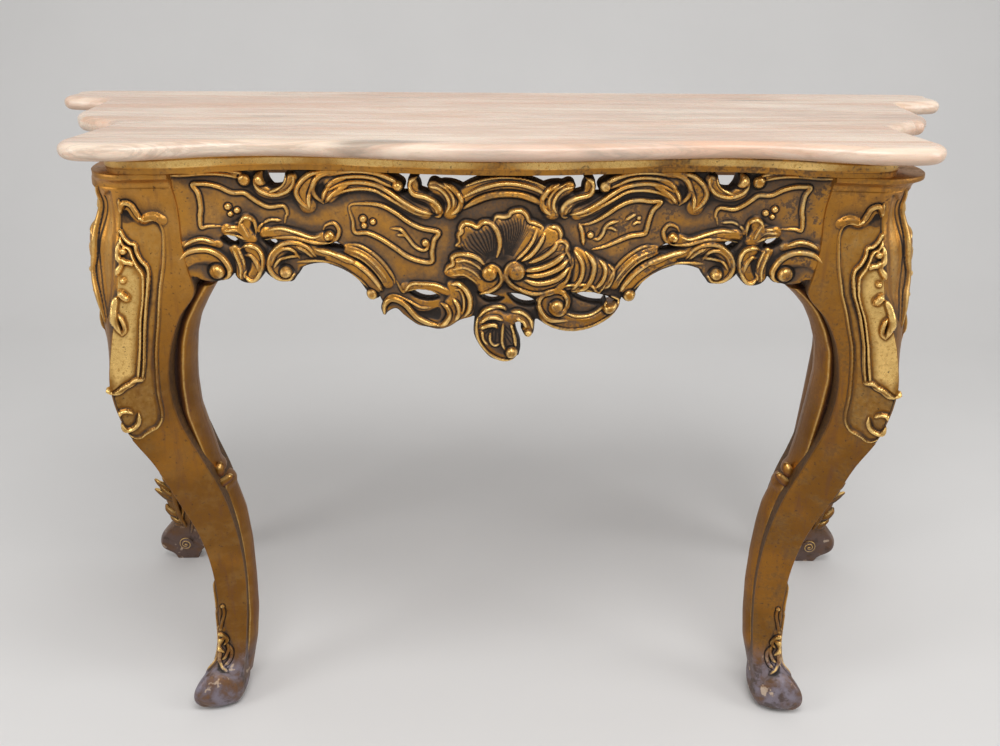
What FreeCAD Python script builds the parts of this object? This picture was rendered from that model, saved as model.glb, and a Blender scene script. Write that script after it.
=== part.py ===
import FreeCAD, Part
import math
import os
from FreeCAD import Vector

os.makedirs("parts", exist_ok=True)

# ---------------------------------------------------------------- sizes, mm
# Plan depth Y is counted from the middle of the front edge of the marble
# and is shifted by PLAN_MID when a point is made, so that the finished
# table stands centred on its own origin.
HEIGHT = 860.0            # floor to marble surface
MARBLE_T = 20.0           # marble slab
MARBLE_ROUND = 9.2        # rounding of its upper and lower edge
MARBLE_SQUARE = 26.0      # depth at the wall edge that is left square
PLAN_MID = 232.5

FRAME_T = 18.0            # frame that carries the marble
FRAME_TOP = HEIGHT - MARBLE_T
FRAME_LOW = FRAME_TOP - FRAME_T
FRAME_BACK = 470.0
FRAME_CORNER_Y = 100.0    # back edge of the front frame member
FRAME_REAR_Y = 425.0      # front edge of the rear frame member
BEARER_X = 170.0
BEARER_W = 50.0
LAP = 20.0

POST_X = 395.0            # inner face of the front posts
POST_BACK = 125.0         # back face of the front posts
REAR_X = 500.0            # inner face of the rear posts
REAR_FRONT = 395.0        # front face of the rear posts
REAR_BACK = 472.0
POST_LOW = 676.0          # the flat joint faces end here

APRON_T = 24.0
TENON_T = 12.0
TENON_L = 30.0
TENON_LOW = 712.0
TENON_TOP = 800.0
SIDE_T = 24.0

BACK_RAIL_T = 22.0
BACK_RAIL_H = 84.0
BACK_RAIL_Y = 442.0

BLOCK = 46.0
BLOCK_LOW = 746.0


def V(x, y, z):
    return Vector(x, y - PLAN_MID, z)


def spline(points):
    curve = Part.BSplineCurve()
    curve.interpolate(points)
    return curve.toShape()


def line(a, b):
    return Part.makeLine(a, b)


def arc(a, b, c):
    return Part.Arc(a, b, c).toShape()


def rounded(points):
    """Edges through (vector, radius) corners: straight runs joined by arcs."""
    edges = []
    at = points[0][0]
    for i in range(1, len(points) - 1):
        p, r = points[i]
        back = (points[i - 1][0] - p).normalize()
        ahead = (points[i + 1][0] - p).normalize()
        half = back.getAngle(ahead) / 2
        reach = r / math.tan(half)
        a = p + back * reach
        b = p + ahead * reach
        middle = (back + ahead).normalize()
        top = p + middle * (r / math.sin(half) - r)
        if (a - at).Length > 0.01:
            edges.append(line(at, a))
        edges.append(arc(a, top, b))
        at = b
    edges.append(line(at, points[-1][0]))
    return edges


def chain(segments, place):
    """Edges of an outline: two points are a line, three an arc, more a spline."""
    edges = []
    for seg in segments:
        pts = [place(u, w) for u, w in seg]
        if len(pts) == 2:
            edges.append(line(pts[0], pts[1]))
        elif len(pts) == 3:
            edges.append(arc(pts[0], pts[1], pts[2]))
        else:
            edges.append(spline(pts))
    return edges


def mirrored(shape):
    return shape.mirror(Vector(0, 0, 0), Vector(1, 0, 0))


def prism(edges, z0, z1):
    face = Part.Face(Part.Wire(edges))
    return face.extrude(Vector(0, 0, z1 - z0))


def elevation(segments, y0=-30.0, y1=130.0):
    wire = Part.Wire(chain(segments, lambda x, z: V(x, y0, z)))
    return Part.Face(wire).extrude(Vector(0, y1 - y0, 0))


def box(x0, x1, y0, y1, z0, z1):
    return Part.makeBox(x1 - x0, y1 - y0, z1 - z0, V(x0, y0, z0))


def save(name, shape):
    shape.exportStep("parts/%s.step" % name)


# ---------------------------------------------------------------- marble top
# Half outline as (x, y, radius): serpentine front, round front corner, then
# two more ears that step outward to the straight wall edge.
MARBLE_EDGE = [(60, -4, 420), (295, 34, 260), (430, -14, 80), (521, -13, 42),
               (500, 152, 14), (563, 203, 20), (582, 242, 40),
               (592, 378, 12), (674, 404, 24), (666, 479, 36)]


def plan_outline(corners, y_back, z):
    right = [(V(x, y, z), r) for x, y, r in corners]
    left = [(V(-x, y, z), r) for x, y, r in reversed(corners)]
    start = [(V(0, y_back, z), 0)]
    return rounded(start + left + right + start)


def marble():
    slab = prism(plan_outline(MARBLE_EDGE, 479, FRAME_TOP), FRAME_TOP, HEIGHT)
    square_from = V(0, 479 - MARBLE_SQUARE, 0).y
    rims = [e for e in slab.Edges
            if e.BoundBox.ZLength < 0.1 and e.BoundBox.YMin < square_from]
    return slab.makeFillet(MARBLE_ROUND, rims)


# ---------------------------------------------------------------- top frame
FRAME_EDGE = [(60, 17, 420), (262, 52, 270), (400, 12, 120), (468, 12, 34)]
FRAME_FLANK = [(474, 160, 60), (556, 214, 60), (566, 378, 40), (628, 410, 26)]


def frame_member_front():
    z = FRAME_LOW
    corners = FRAME_EDGE + [(471, FRAME_CORNER_Y, 0.5)]
    return prism(plan_outline(corners, FRAME_CORNER_Y, z), z, FRAME_TOP)


def frame_member_side():
    z = FRAME_LOW
    pts = [(404, 30, 0)] + [(404, 12, 1)] + [FRAME_EDGE[-1]] + FRAME_FLANK
    pts += [(626, FRAME_BACK, 1), (530, FRAME_BACK, 1), (498, 400, 60),
            (498, 250, 60), (408, 190, 60), (404, 30, 0)]
    pts = [(V(x, y, z), r) for x, y, r in pts]
    return prism(rounded(pts), z, FRAME_TOP)


def top_frame():
    mid = FRAME_LOW + FRAME_T / 2
    front = frame_member_front()
    side = frame_member_side()
    rear = box(-600, 600, FRAME_REAR_Y, FRAME_BACK, FRAME_LOW, FRAME_TOP)
    front_corner = box(380, 520, 0, FRAME_CORNER_Y, FRAME_LOW, FRAME_TOP)
    rear_corner = box(380, 700, FRAME_REAR_Y, 500, FRAME_LOW, FRAME_TOP)
    lower = box(-700, 700, 0, 500, FRAME_LOW, mid)
    laps = side.common(front.common(front_corner).fuse(side.common(rear_corner)))
    rear = rear.cut(box(-700, -450, 0, 500, FRAME_LOW, FRAME_TOP))
    rear = rear.cut(box(450, 700, 0, 500, FRAME_LOW, FRAME_TOP))
    inner = box(450, 530, FRAME_REAR_Y, FRAME_BACK, FRAME_LOW, FRAME_TOP)
    rear_end = inner.fuse(side.common(rear_corner)).removeSplitter()
    rear = rear.fuse(rear_end).fuse(mirrored(rear_end)).removeSplitter()
    side = side.cut(front_corner.cut(front))
    side = side.cut(laps.cut(lower))
    low_lap = laps.common(lower)
    for piece in (low_lap, mirrored(low_lap)):
        front = front.cut(piece)
        rear = rear.cut(piece)
    bearers = []
    for sign in (-1, 1):
        x = sign * BEARER_X
        x0 = x - BEARER_W / 2
        x1 = x + BEARER_W / 2
        y0 = FRAME_CORNER_Y - LAP
        y1 = FRAME_REAR_Y + LAP
        bar = box(x0, x1, y0, y1, FRAME_LOW, FRAME_TOP)
        bar = bar.cut(box(x0, x1, y0, FRAME_CORNER_Y, FRAME_LOW, mid))
        bar = bar.cut(box(x0, x1, FRAME_REAR_Y, y1, FRAME_LOW, mid))
        front = front.cut(bar)
        rear = rear.cut(bar)
        bearers.append(bar)
    return front, side, rear, bearers


# ---------------------------------------------------------------- legs
# Each row: height, then plan points of the section going round:
# inner front, ridge, side bulge, back outer, back inner.
FRONT_LEG = [
    (0, (402, 60), (440, 50), (449, 85), (432, 116), (401, 119)),
    (10, (395, 54), (452, 41), (456, 87), (439, 123), (391, 125)),
    (28, (390, 56), (455, 39), (454, 88), (441, 127), (387, 129)),
    (52, (390, 65), (446, 50), (441, 92), (436, 128), (387, 131)),
    (85, (387, 80), (423, 69), (431, 101), (427, 132), (386, 136)),
    (140, (381, 86), (419, 75), (429, 104), (423, 133), (382, 140)),
    (220, (376, 85), (419, 75), (427, 104), (421, 133), (378, 141)),
    (300, (378, 74), (428, 62), (436, 98), (430, 130), (381, 139)),
    (370, (388, 61), (446, 44), (453, 90), (447, 127), (390, 136)),
    (430, (407, 50), (461, 26), (469, 80), (462, 122), (407, 132)),
    (490, (425, 39), (483, 7), (489, 67), (483, 117), (422, 129)),
    (550, (428, 31), (491, -1), (501, 60), (498, 116), (425, 126)),
    (610, (415, 30), (483, 6), (509, 63), (506, 119), (412, 126)),
    (670, (392, 30), (471, 16), (517, 68), (510, 128), (391, 129)),
    (730, (391, 30), (461, 25), (512, 67), (508, 128), (391, 129)),
    (785, (391, 31), (455, 29), (490, 62), (493, 128), (391, 129)),
    (803, (391, 27), (452, 21), (494, 52), (497, 128), (391, 129)),
]
CAP_LOW = ((391, 27), (452, 21), (494, 52), (497, 128), (391, 129))
CAP_RIGHT = ((391, 16), (452, 6), (506, 46), (500, 128), (391, 129))
CAP_LEFT = ((391, 16), (447, 8), (489, 44), (492, 128), (391, 129))

# Carved by eye, the right front leg stands a little further out than the left
# one through its knee: (height, shift).
LEAN = [(0, -3), (50, -1), (90, 1), (191, 4), (292, 7), (375, 11), (404, 12),
        (440, 11), (507, 9), (610, 9), (650, 5), (676, 0), (900, 0)]
# The right rear leg kicks out a little at its ankle and tucks its foot in.
REAR_LEAN = [(0, -14), (30, -9), (60, -6), (110, 0), (170, 5), (300, 5), (450, 0),
             (900, 0)]
STRAIGHT = [(0, 0), (900, 0)]


def shift_at(z, shifts):
    for (z0, s0), (z1, s1) in zip(shifts, shifts[1:]):
        if z <= z1:
            return s0 + (s1 - s0) * (z - z0) / (z1 - z0)
    return shifts[-1][1]


def leaned(rows, shifts):
    return [(row[0],) + tuple((x + shift_at(row[0], shifts), y) for x, y in row[1:])
            for row in rows]


def leaned_outline(segments, shifts):
    return [[(x + shift_at(z, shifts), z) for x, z in seg] for seg in segments]


def section(z, pts):
    f, r, s, b, i = [V(p[0], p[1], z) for p in pts]
    return Part.Wire([line(f, r), spline([r, s, b]), line(b, i), line(i, f)])


def leg(rows, cap_low, cap_edge):
    body = Part.makeLoft([section(row[0], row[1:]) for row in rows], True, False)
    levels = [(803.0, cap_low), (811.0, cap_edge), (FRAME_LOW, cap_edge)]
    cap = Part.makeLoft([section(z, pts) for z, pts in levels], True, True)
    return body.fuse(cap)


# The front face has a sunk field round a raised inner panel, both running out
# at the ridge; each outline is closed behind the ridge.
FIELD = [
    [(474, 470), (452, 482), (444, 500)],
    [(444, 500), (442, 540), (436, 590), (420, 670), (408, 735)],
    [(408, 735), (406, 758), (420, 768)], [(420, 768), (437, 762), (441, 775)],
    [(441, 775), (451, 788), (461, 774)],
    [(461, 774), (456, 735), (466, 690), (478, 610), (486, 540), (474, 470)],
]
PANEL = [
    [(520, 550), (466, 557), (453, 563)],
    [(453, 563), (446, 613), (437, 665), (433, 694)],
    [(433, 694), (443, 716), (468, 750)], [(468, 750), (520, 750)],
    [(520, 750), (520, 550)],
]
FIELD_DEPTH = 3.0


def sink(body, outline, depth):
    """Lowers the front face of a body inside an outline by an even depth."""
    over = outline.cut(body.translated(Vector(0, depth, 0)))
    return body.cut(over)


def front_leg(cap_edge, shifts):
    shape = leg(leaned(FRONT_LEG, shifts), CAP_LOW, cap_edge)
    shape = shape.cut(box(380, POST_X, 0, 140, POST_LOW, FRAME_LOW + 1))
    shape = shape.cut(box(380, 540, POST_BACK, 150, POST_LOW, FRAME_LOW + 1))
    panel = elevation(leaned_outline(PANEL, shifts))
    channel = elevation(leaned_outline(FIELD, shifts)).cut(panel)
    return sink(shape, channel, FIELD_DEPTH).removeSplitter()


REAR_LEG = [
    (0, (576, 448), (614, 447), (617, 458), (613, 471), (576, 471)),
    (12, (573, 444), (618, 443), (622, 456), (618, 472), (571, 472)),
    (28, (560, 440), (634, 437), (641, 454), (635, 472), (554, 472)),
    (48, (551, 436), (634, 433), (641, 452), (635, 472), (549, 472)),
    (72, (545, 432), (617, 429), (624, 450), (618, 472), (544, 472)),
    (100, (541, 428), (590, 424), (597, 446), (593, 472), (541, 472)),
    (160, (540, 420), (581, 415), (589, 443), (586, 472), (540, 472)),
    (230, (543, 413), (582, 407), (591, 440), (588, 472), (543, 472)),
    (310, (549, 407), (588, 400), (598, 437), (594, 472), (549, 472)),
    (390, (557, 402), (601, 394), (610, 434), (605, 472), (557, 472)),
    (460, (562, 399), (613, 387), (623, 432), (617, 472), (562, 472)),
    (530, (556, 396), (624, 384), (635, 430), (629, 472), (556, 472)),
    (600, (538, 393), (630, 384), (641, 430), (635, 472), (538, 472)),
    (660, (508, 392), (629, 386), (640, 430), (635, 472), (508, 472)),
    (715, (497, 391), (618, 388), (630, 430), (626, 472), (497, 472)),
    (785, (497, 391), (592, 391), (603, 430), (600, 472), (497, 472)),
    (803, (497, 391), (594, 391), (606, 430), (604, 472), (497, 472)),
]
ROSETTE_X = 590.0
ROSETTE_Z = 42.0
ROSETTE_R = 12.0
ROSETTE_Y = 430.0
ROSETTE_T = 12.0
REAR_CAP_LOW = ((497, 391), (594, 391), (606, 430), (604, 472), (497, 472))
REAR_CAP_EDGE = ((497, 386), (593, 387), (612, 428), (610, 472), (497, 472))


def rear_leg(shifts):
    shape = leg(leaned(REAR_LEG, shifts), REAR_CAP_LOW, REAR_CAP_EDGE)
    shape = shape.cut(box(480, REAR_X, 370, 490, POST_LOW, FRAME_LOW + 1))
    shape = shape.cut(box(480, 660, 370, REAR_FRONT, POST_LOW, FRAME_LOW + 1))
    centre = V(ROSETTE_X + shift_at(ROSETTE_Z, shifts), ROSETTE_Y, ROSETTE_Z)
    eye = Part.makeCylinder(ROSETTE_R, ROSETTE_T, centre, Vector(0, 1, 0))
    return shape.fuse(eye).removeSplitter()


# ---------------------------------------------------------------- front apron
# The apron is sawn from a serpentine blank and then fretted.
APRON_FACE = [(60, 23, 420), (262, 57, 270), (405, 27, 0)]


def apron_layer(front, back, z0, z1):
    edges = []
    for offset in (front, back):
        right = [(V(x, y + offset, z0), r) for x, y, r in APRON_FACE]
        left = [(V(-x, y + offset, z0), r) for x, y, r in reversed(APRON_FACE)]
        edges += rounded(left + right)
    for x in (-405, 405):
        edges.append(line(V(x, 27 + front, z0), V(x, 27 + back, z0)))
    wire = Part.Wire(Part.__sortEdges__(edges))
    return Part.Face(wire).extrude(Vector(0, 0, z1 - z0))


def flip(segments):
    return [[(-x, z) for x, z in reversed(seg)] for seg in reversed(segments)]


# Outline of the fretted board: lower edge of the left half, the pendant in
# the middle, and the crest with its open notches under the top frame.
BOARD_LEFT = [
    [(-395, 822), (-395, 690)],
    [(-395, 690), (-377, 689)],
    [(-377, 689), (-352, 683), (-333, 695)],
    [(-333, 695), (-314, 678), (-297, 695)],
    [(-297, 695), (-270, 680), (-250, 697)],
    [(-250, 697), (-210, 702), (-169, 670)],
    [(-169, 670), (-161, 660), (-152, 664)],
    [(-152, 664), (-147, 656)],
    [(-147, 656), (-126, 640), (-92, 628), (-62, 626), (-33, 644)],
]
PENDANT = [
    [(-33, 644), (-31, 618), (-12, 589), (8, 584), (29, 598)],
    [(29, 598), (28, 611)],
    [(28, 611), (41, 615), (46, 640)],
]
BOARD_RIGHT = [
    [(46, 640), (58, 633), (92, 626), (126, 633), (147, 655)],
    [(147, 655), (152, 664)],
]
CREST_LEFT = [
    [(-46, 808), (-62, 813), (-82, 809)],
    [(-82, 809), (-86, 800), (-96, 801)],
    [(-96, 801), (-98, 812), (-104, 818)],
    [(-104, 818), (-110, 808), (-113, 798)],
    [(-113, 798), (-124, 800), (-132, 822)],
    [(-132, 822), (-252, 822)],
    [(-252, 822), (-257, 802), (-271, 796)],
    [(-271, 796), (-283, 806), (-284, 822)],
    [(-284, 822), (-395, 822)],
]
PIERCINGS = [
    [[(-343, 738), (-333, 729), (-324, 728)], [(-324, 728), (-330, 740), (-343, 738)]],
    [[(-294, 735), (-286, 725), (-276, 722)], [(-276, 722), (-282, 735), (-294, 735)]],
    [[(-229, 732), (-210, 733), (-192, 724)], [(-192, 724), (-212, 726), (-229, 732)]],
    [[(-113, 673), (-94, 664), (-77, 668)], [(-77, 668), (-92, 677), (-113, 673)]],
]
CENTRE_PIERCINGS = [
    [[(-28, 677), (-14, 664), (3, 669)], [(3, 669), (-12, 672), (-28, 677)]],
    [[(9, 674), (26, 660), (46, 662)], [(46, 662), (30, 671), (9, 674)]],
    [[(84, 677), (112, 660), (145, 662)], [(145, 662), (116, 672), (84, 677)]],
]


# Raised carving, each item (height, tip, outer mid, tip, inner mid) of a
# crescent between two arcs, for the left half of the board.
CRESCENTS = [
    (5, (-395, 816), (-350, 822), (-304, 813), (-350, 810)),
    (8, (-300, 812), (-274, 783), (-248, 814), (-274, 794)),
    (7, (-314, 727), (-334, 736), (-336, 755), (-321, 742)),
    (9, (-314, 727), (-322, 747), (-312, 765), (-304, 745)),
    (7, (-314, 727), (-299, 735), (-296, 753), (-309, 742)),
    (7, (-294, 751), (-256, 751), (-216, 737), (-257, 741)),
    (4, (-392, 730), (-368, 739), (-344, 737), (-368, 730)),
    (7, (-393, 716), (-350, 728), (-333, 693), (-355, 714)),
    (7, (-228, 712), (-272, 728), (-284, 685), (-264, 711)),
    (7, (-230, 719), (-182, 716), (-146, 674), (-190, 703)),
    (5, (-256, 705), (-205, 702), (-167, 670), (-206, 692)),
    (7, (-233, 769), (-243, 806), (-182, 821), (-226, 798)),
    (8, (-216, 780), (-178, 822), (-120, 802), (-177, 810)),
    (6, (-214, 782), (-170, 810), (-110, 784), (-170, 797)),
    (7, (-126, 796), (-99, 776), (-74, 771), (-100, 789)),
    (7, (-103, 819), (-104, 795), (-72, 771), (-91, 800)),
    (8, (-85, 811), (-53, 806), (-62, 773), (-67, 798)),
    (6, (-193, 730), (-154, 717), (-130, 681), (-167, 703)),
    (6, (-132, 695), (-108, 676), (-64, 675), (-104, 688)),
    (8, (-149, 657), (-95, 622), (-33, 654), (-92, 643)),
]
CENTRE_CRESCENTS = [
    (8, (-49, 780), (6, 807), (59, 780), (6, 797)),
    (7, (-49, 793), (6, 816), (61, 792), (6, 808)),
    (8, (50, 656), (98, 619), (148, 653), (98, 638)),
    (7, (90, 728), (131, 714), (144, 674), (114, 702)),
    (7, (82, 718), (112, 704), (126, 672), (98, 692)),
    (9, (-18, 668), (-35, 612), (5, 587), (-12, 622)),
    (9, (12, 588), (46, 612), (44, 645), (27, 617)),
]
BALLS = [(-314, 804, 5), (-289, 812, 6), (-211, 741, 8), (-351, 698, 8),
         (-267, 693, 8), (-162, 668, 6)]
CENTRE_BALLS = [(-14, 704, 8), (18, 706, 8), (135, 656, 8), (14, 602, 9)]

# Flat raised panels with a curved rim on the left half.
PANELS = [
    [[(-367, 806), (-345, 805), (-322, 793)], [(-322, 793), (-296, 778), (-266, 777)],
     [(-266, 777), (-259, 766), (-266, 755)], [(-266, 755), (-310, 761), (-367, 754)],
     [(-367, 754), (-363, 780), (-367, 806)]],
    [[(-328, 737), (-327, 706), (-313, 680)], [(-313, 680), (-296, 705), (-290, 737)],
     [(-290, 737), (-309, 727), (-328, 737)]],
    [[(-189, 779), (-160, 785), (-128, 773)], [(-128, 773), (-106, 757), (-78, 752)],
     [(-78, 752), (-87, 733), (-83, 714)], [(-83, 714), (-108, 714), (-138, 735)],
     [(-138, 735), (-158, 746), (-184, 747)], [(-184, 747), (-180, 762), (-189, 779)]],
]
PANEL_HEIGHT = 4.0

# Fluted shell in the middle: tapered ribs that fan out from its hinge.
SHELL_X = 8.0
SHELL_Z = 702.0
SHELL_RIBS = 9
SHELL_START = 10.0
SHELL_REACH = 62.0
SHELL_SPREAD = (-16.0, 196.0)


def board_outline():
    right = flip(BOARD_LEFT[:-2])
    crest_right = flip(CREST_LEFT)
    top = [[(46, 808), (0, 821), (-46, 808)]]
    lower = BOARD_LEFT + PENDANT + BOARD_RIGHT + right
    return lower + crest_right + top + CREST_LEFT


def apron_face_y(x):
    """Depth of the serpentine front face at x, in plan coordinates."""
    right = [(V(px, y, 0), r) for px, y, r in APRON_FACE]
    left = [(V(-px, y, 0), r) for px, y, r in reversed(APRON_FACE)]
    face = Part.Wire(rounded(left + right))
    near = face.distToShape(line(V(x, -50, 0), V(x, 150, 0)))[1][0][0]
    return near.y + PLAN_MID


def crescent(tip, outer, end, inner):
    return [[tip, outer, end], [end, inner, tip]]


def raised(height, outlines):
    """Solids that stand proud of the serpentine face by the height given."""
    layer = apron_layer(-height, 2.0, 560.0, FRAME_LOW)
    return [layer.common(elevation(outline)) for outline in outlines]


def ball(x, z, radius):
    centre = V(x, apron_face_y(x) - radius / 2, z)
    return Part.makeSphere(radius, centre, Vector(0, 1, 0))


def shell_ribs():
    y = apron_face_y(SHELL_X)
    low, high = SHELL_SPREAD
    step = math.radians((high - low) / (SHELL_RIBS - 1))
    tip_r = SHELL_REACH * math.sin(step / 2) * 1.06
    hinge = V(SHELL_X, y, SHELL_Z)
    ribs = []
    for i in range(SHELL_RIBS):
        angle = math.radians(low) + i * step
        away = Vector(math.cos(angle), 0, math.sin(angle))
        cone = Part.makeCone(2.5, tip_r, SHELL_REACH - SHELL_START,
                             hinge + away * SHELL_START, away)
        end = Part.makeSphere(tip_r, hinge + away * SHELL_REACH)
        ribs += [cone, end]
    return ribs


def carving():
    pieces = []
    for height, *arcs in CRESCENTS:
        shape = crescent(*arcs)
        pieces += raised(height, [shape, flip(shape)])
    for height, *arcs in CENTRE_CRESCENTS:
        pieces += raised(height, [crescent(*arcs)])
    pieces += raised(PANEL_HEIGHT, PANELS + [flip(panel) for panel in PANELS])
    for x, z, radius in BALLS:
        pieces += [ball(x, z, radius), ball(-x, z, radius)]
    pieces += [ball(*item) for item in CENTRE_BALLS]
    return pieces + shell_ribs()


def front_apron():
    blank = apron_layer(0.0, APRON_T, 560.0, FRAME_LOW)
    blank = blank.common(box(-POST_X, POST_X, -20, 140, 560, FRAME_LOW))
    board = blank.common(elevation(board_outline()))
    holes = PIERCINGS + [flip(hole) for hole in PIERCINGS[:3]] + CENTRE_PIERCINGS
    for hole in holes:
        board = board.cut(elevation(hole))
    for sign in (-1, 1):
        x0 = POST_X if sign > 0 else -POST_X - TENON_L
        tenon = box(x0, x0 + TENON_L, 37.0, 37.0 + TENON_T, TENON_LOW, TENON_TOP)
        board = board.fuse(tenon)
    for piece in carving():
        board = board.fuse(piece)
    return board


# ---------------------------------------------------------------- side aprons
SIDE_FACE = [(482, 125, 0), (486, 172, 50), (556, 222, 60), (564, 366, 60), (584, 395, 0)]
SIDE_PROFILE = [
    [(125, 822), (125, 690)], [(125, 690), (142, 682), (160, 700)],
    [(160, 700), (186, 716), (214, 706)], [(214, 706), (236, 690), (260, 668)],
    [(260, 668), (284, 690), (306, 706)], [(306, 706), (334, 716), (360, 700)],
    [(360, 700), (378, 682), (395, 690)], [(395, 690), (395, 822)],
    [(395, 822), (125, 822)],
]


def side_apron():
    z0 = 640.0
    outer = [(V(x, y, z0), r) for x, y, r in SIDE_FACE]
    inner = [(V(x - SIDE_T, y, z0), r) for x, y, r in SIDE_FACE]
    edges = rounded(outer) + rounded(inner)
    edges += [line(outer[0][0], inner[0][0]), line(outer[-1][0], inner[-1][0])]
    wire = Part.Wire(Part.__sortEdges__(edges))
    blank = Part.Face(wire).extrude(Vector(0, 0, FRAME_LOW - z0))
    profile = Part.Wire(chain(SIDE_PROFILE, lambda y, z: V(400, y, z)))
    board = blank.common(Part.Face(profile).extrude(Vector(260, 0, 0)))
    front_tenon = box(464, 476, 100, 125, TENON_LOW, TENON_TOP)
    rear_tenon = box(566, 578, 395, 420, TENON_LOW, TENON_TOP)
    return board.fuse(front_tenon).fuse(rear_tenon).removeSplitter()


# ---------------------------------------------------------------- back rail
def back_rail():
    y0 = BACK_RAIL_Y
    z0 = FRAME_LOW - BACK_RAIL_H
    rail = box(-REAR_X, REAR_X, y0, y0 + BACK_RAIL_T, z0, FRAME_LOW)
    for sign in (-1, 1):
        x0 = REAR_X if sign > 0 else -REAR_X - TENON_L
        rail = rail.fuse(box(x0, x0 + TENON_L, y0 + 5, y0 + 17, z0 + 12, FRAME_LOW - 14))
    return rail.removeSplitter()


# ---------------------------------------------------------------- glue blocks
def glue_block(x, y, sx, sy, neighbours):
    """Triangular block in a corner at (x, y), reaching sx and sy along the faces."""
    z = BLOCK_LOW
    a = V(x, y, z)
    b = V(x + sx, y, z)
    c = V(x, y + sy, z)
    block = prism([line(a, b), line(b, c), line(c, a)], z, FRAME_LOW)
    for other in neighbours:
        block = block.cut(other)
    return block


# ---------------------------------------------------------------- scroll strips
# Inner edging of each leg: height, x of the free edge, depth band. The right
# and left strips of the front legs follow their own legs.
UPPER_LEFT = [(676, 360, 46, 90), (653, 375, 46, 94), (628, 389, 46, 100),
              (600, 398, 47, 104), (564, 404, 49, 107), (533, 407, 51, 108),
              (493, 407, 54, 110), (462, 402, 59, 113), (421, 396, 68, 117),
              (384, 391, 78, 120)]
LOWER_LEFT = [(379, 384, 78, 122), (358, 378, 80, 125), (314, 370, 85, 130),
              (259, 367, 90, 133), (196, 368, 94, 134), (136, 370, 94, 133),
              (84, 376, 90, 132), (30, 387, 80, 124)]
UPPER_RIGHT = [(676, 360, 46, 90), (665, 373, 46, 92), (646, 390, 46, 96),
               (622, 403, 46, 101), (589, 415, 48, 105), (550, 419, 50, 108),
               (507, 416, 53, 109), (442, 411, 63, 115), (404, 406, 73, 119),
               (384, 401, 78, 120)]
LOWER_RIGHT = [(379, 396, 78, 122), (358, 389, 80, 125), (328, 381, 84, 129),
               (292, 377, 87, 132), (246, 374, 91, 133), (191, 373, 94, 134),
               (136, 375, 94, 133), (90, 379, 90, 132), (30, 393, 80, 124)]
REAR_STRIP = [(670, 484, 408, 460), (600, 514, 410, 462), (530, 533, 412, 464),
              (440, 539, 414, 466), (350, 532, 420, 468), (230, 523, 426, 470),
              (130, 517, 434, 470)]
STRIP_W = 36.0


def strip_section(z, x, y0, y1):
    nose = arc(V(x + 12, y0, z), V(x, (y0 + y1) / 2, z), V(x + 12, y1, z))
    far = x + STRIP_W
    return Part.Wire([nose, line(V(x + 12, y1, z), V(far, y1, z)),
                      line(V(far, y1, z), V(far, y0, z)),
                      line(V(far, y0, z), V(x + 12, y0, z))])


def scroll_strip(rows):
    return Part.makeLoft([strip_section(*row) for row in rows], True, False)


def fitted(strip, *neighbours):
    """A strip scribed to its leg and apron; the offcuts fall away."""
    for other in neighbours:
        strip = strip.cut(other)
    return max(strip.Solids, key=lambda solid: solid.Volume)


def build():
    save("marble_top", marble())
    front_rail, side_rail, rear_rail, bearers = top_frame()
    apron = front_apron()
    side = side_apron()
    back = back_rail()
    left = mirrored(front_leg(CAP_LEFT, STRAIGHT).cut(side)).cut(apron)
    right = front_leg(CAP_RIGHT, LEAN).cut(side).cut(apron)
    rear_left = mirrored(rear_leg(STRAIGHT).cut(side).cut(back))
    rear_right = rear_leg(REAR_LEAN).cut(side).cut(back)
    save("top_rail_front", front_rail)
    save("top_rail_right", side_rail)
    save("top_rail_left", mirrored(side_rail))
    save("top_rail_back", rear_rail)
    save("marble_bearer_left", bearers[0])
    save("marble_bearer_right", bearers[1])
    save("front_apron", apron)
    save("side_apron_right", side)
    save("side_apron_left", mirrored(side))
    save("back_rail", back)
    save("front_leg_right", right)
    save("front_leg_left", left)
    save("rear_leg_right", rear_right)
    save("rear_leg_left", rear_left)
    for name, rows in (("upper_front", UPPER_LEFT), ("lower_front", LOWER_LEFT)):
        strip = fitted(mirrored(scroll_strip(rows)), left, apron)
        save("scroll_%s_left" % name, strip)
    for name, rows in (("upper_front", UPPER_RIGHT), ("lower_front", LOWER_RIGHT)):
        strip = fitted(scroll_strip(rows), right, apron)
        save("scroll_%s_right" % name, strip)
    rows = [(z, x + shift_at(z, REAR_LEAN), y0, y1) for z, x, y0, y1 in REAR_STRIP]
    save("scroll_rear_right", fitted(scroll_strip(rows), rear_right))
    save("scroll_rear_left", fitted(mirrored(scroll_strip(REAR_STRIP)), rear_left))
    block = glue_block(POST_X, 50, -BLOCK, BLOCK + 8, [apron])
    save("corner_block_front_right", block)
    save("corner_block_front_left", mirrored(block))
    block = glue_block(REAR_X, BACK_RAIL_Y, -BLOCK, -BLOCK, [])
    save("corner_block_rear_right", block)
    save("corner_block_rear_left", mirrored(block))


build()
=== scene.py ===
"""A rococo pier table: a shaped marble slab on a carved and gilded frame.

Lengths in the tables below are millimetres in the table's own plan: X runs to
the right from the middle, depth runs back from the middle of the slab's front
edge, and Z up from the floor. place() turns them into the frame's metres.
"""
import functools
import math
import bpy
import numpy as np
from mathutils import Matrix, Vector


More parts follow.
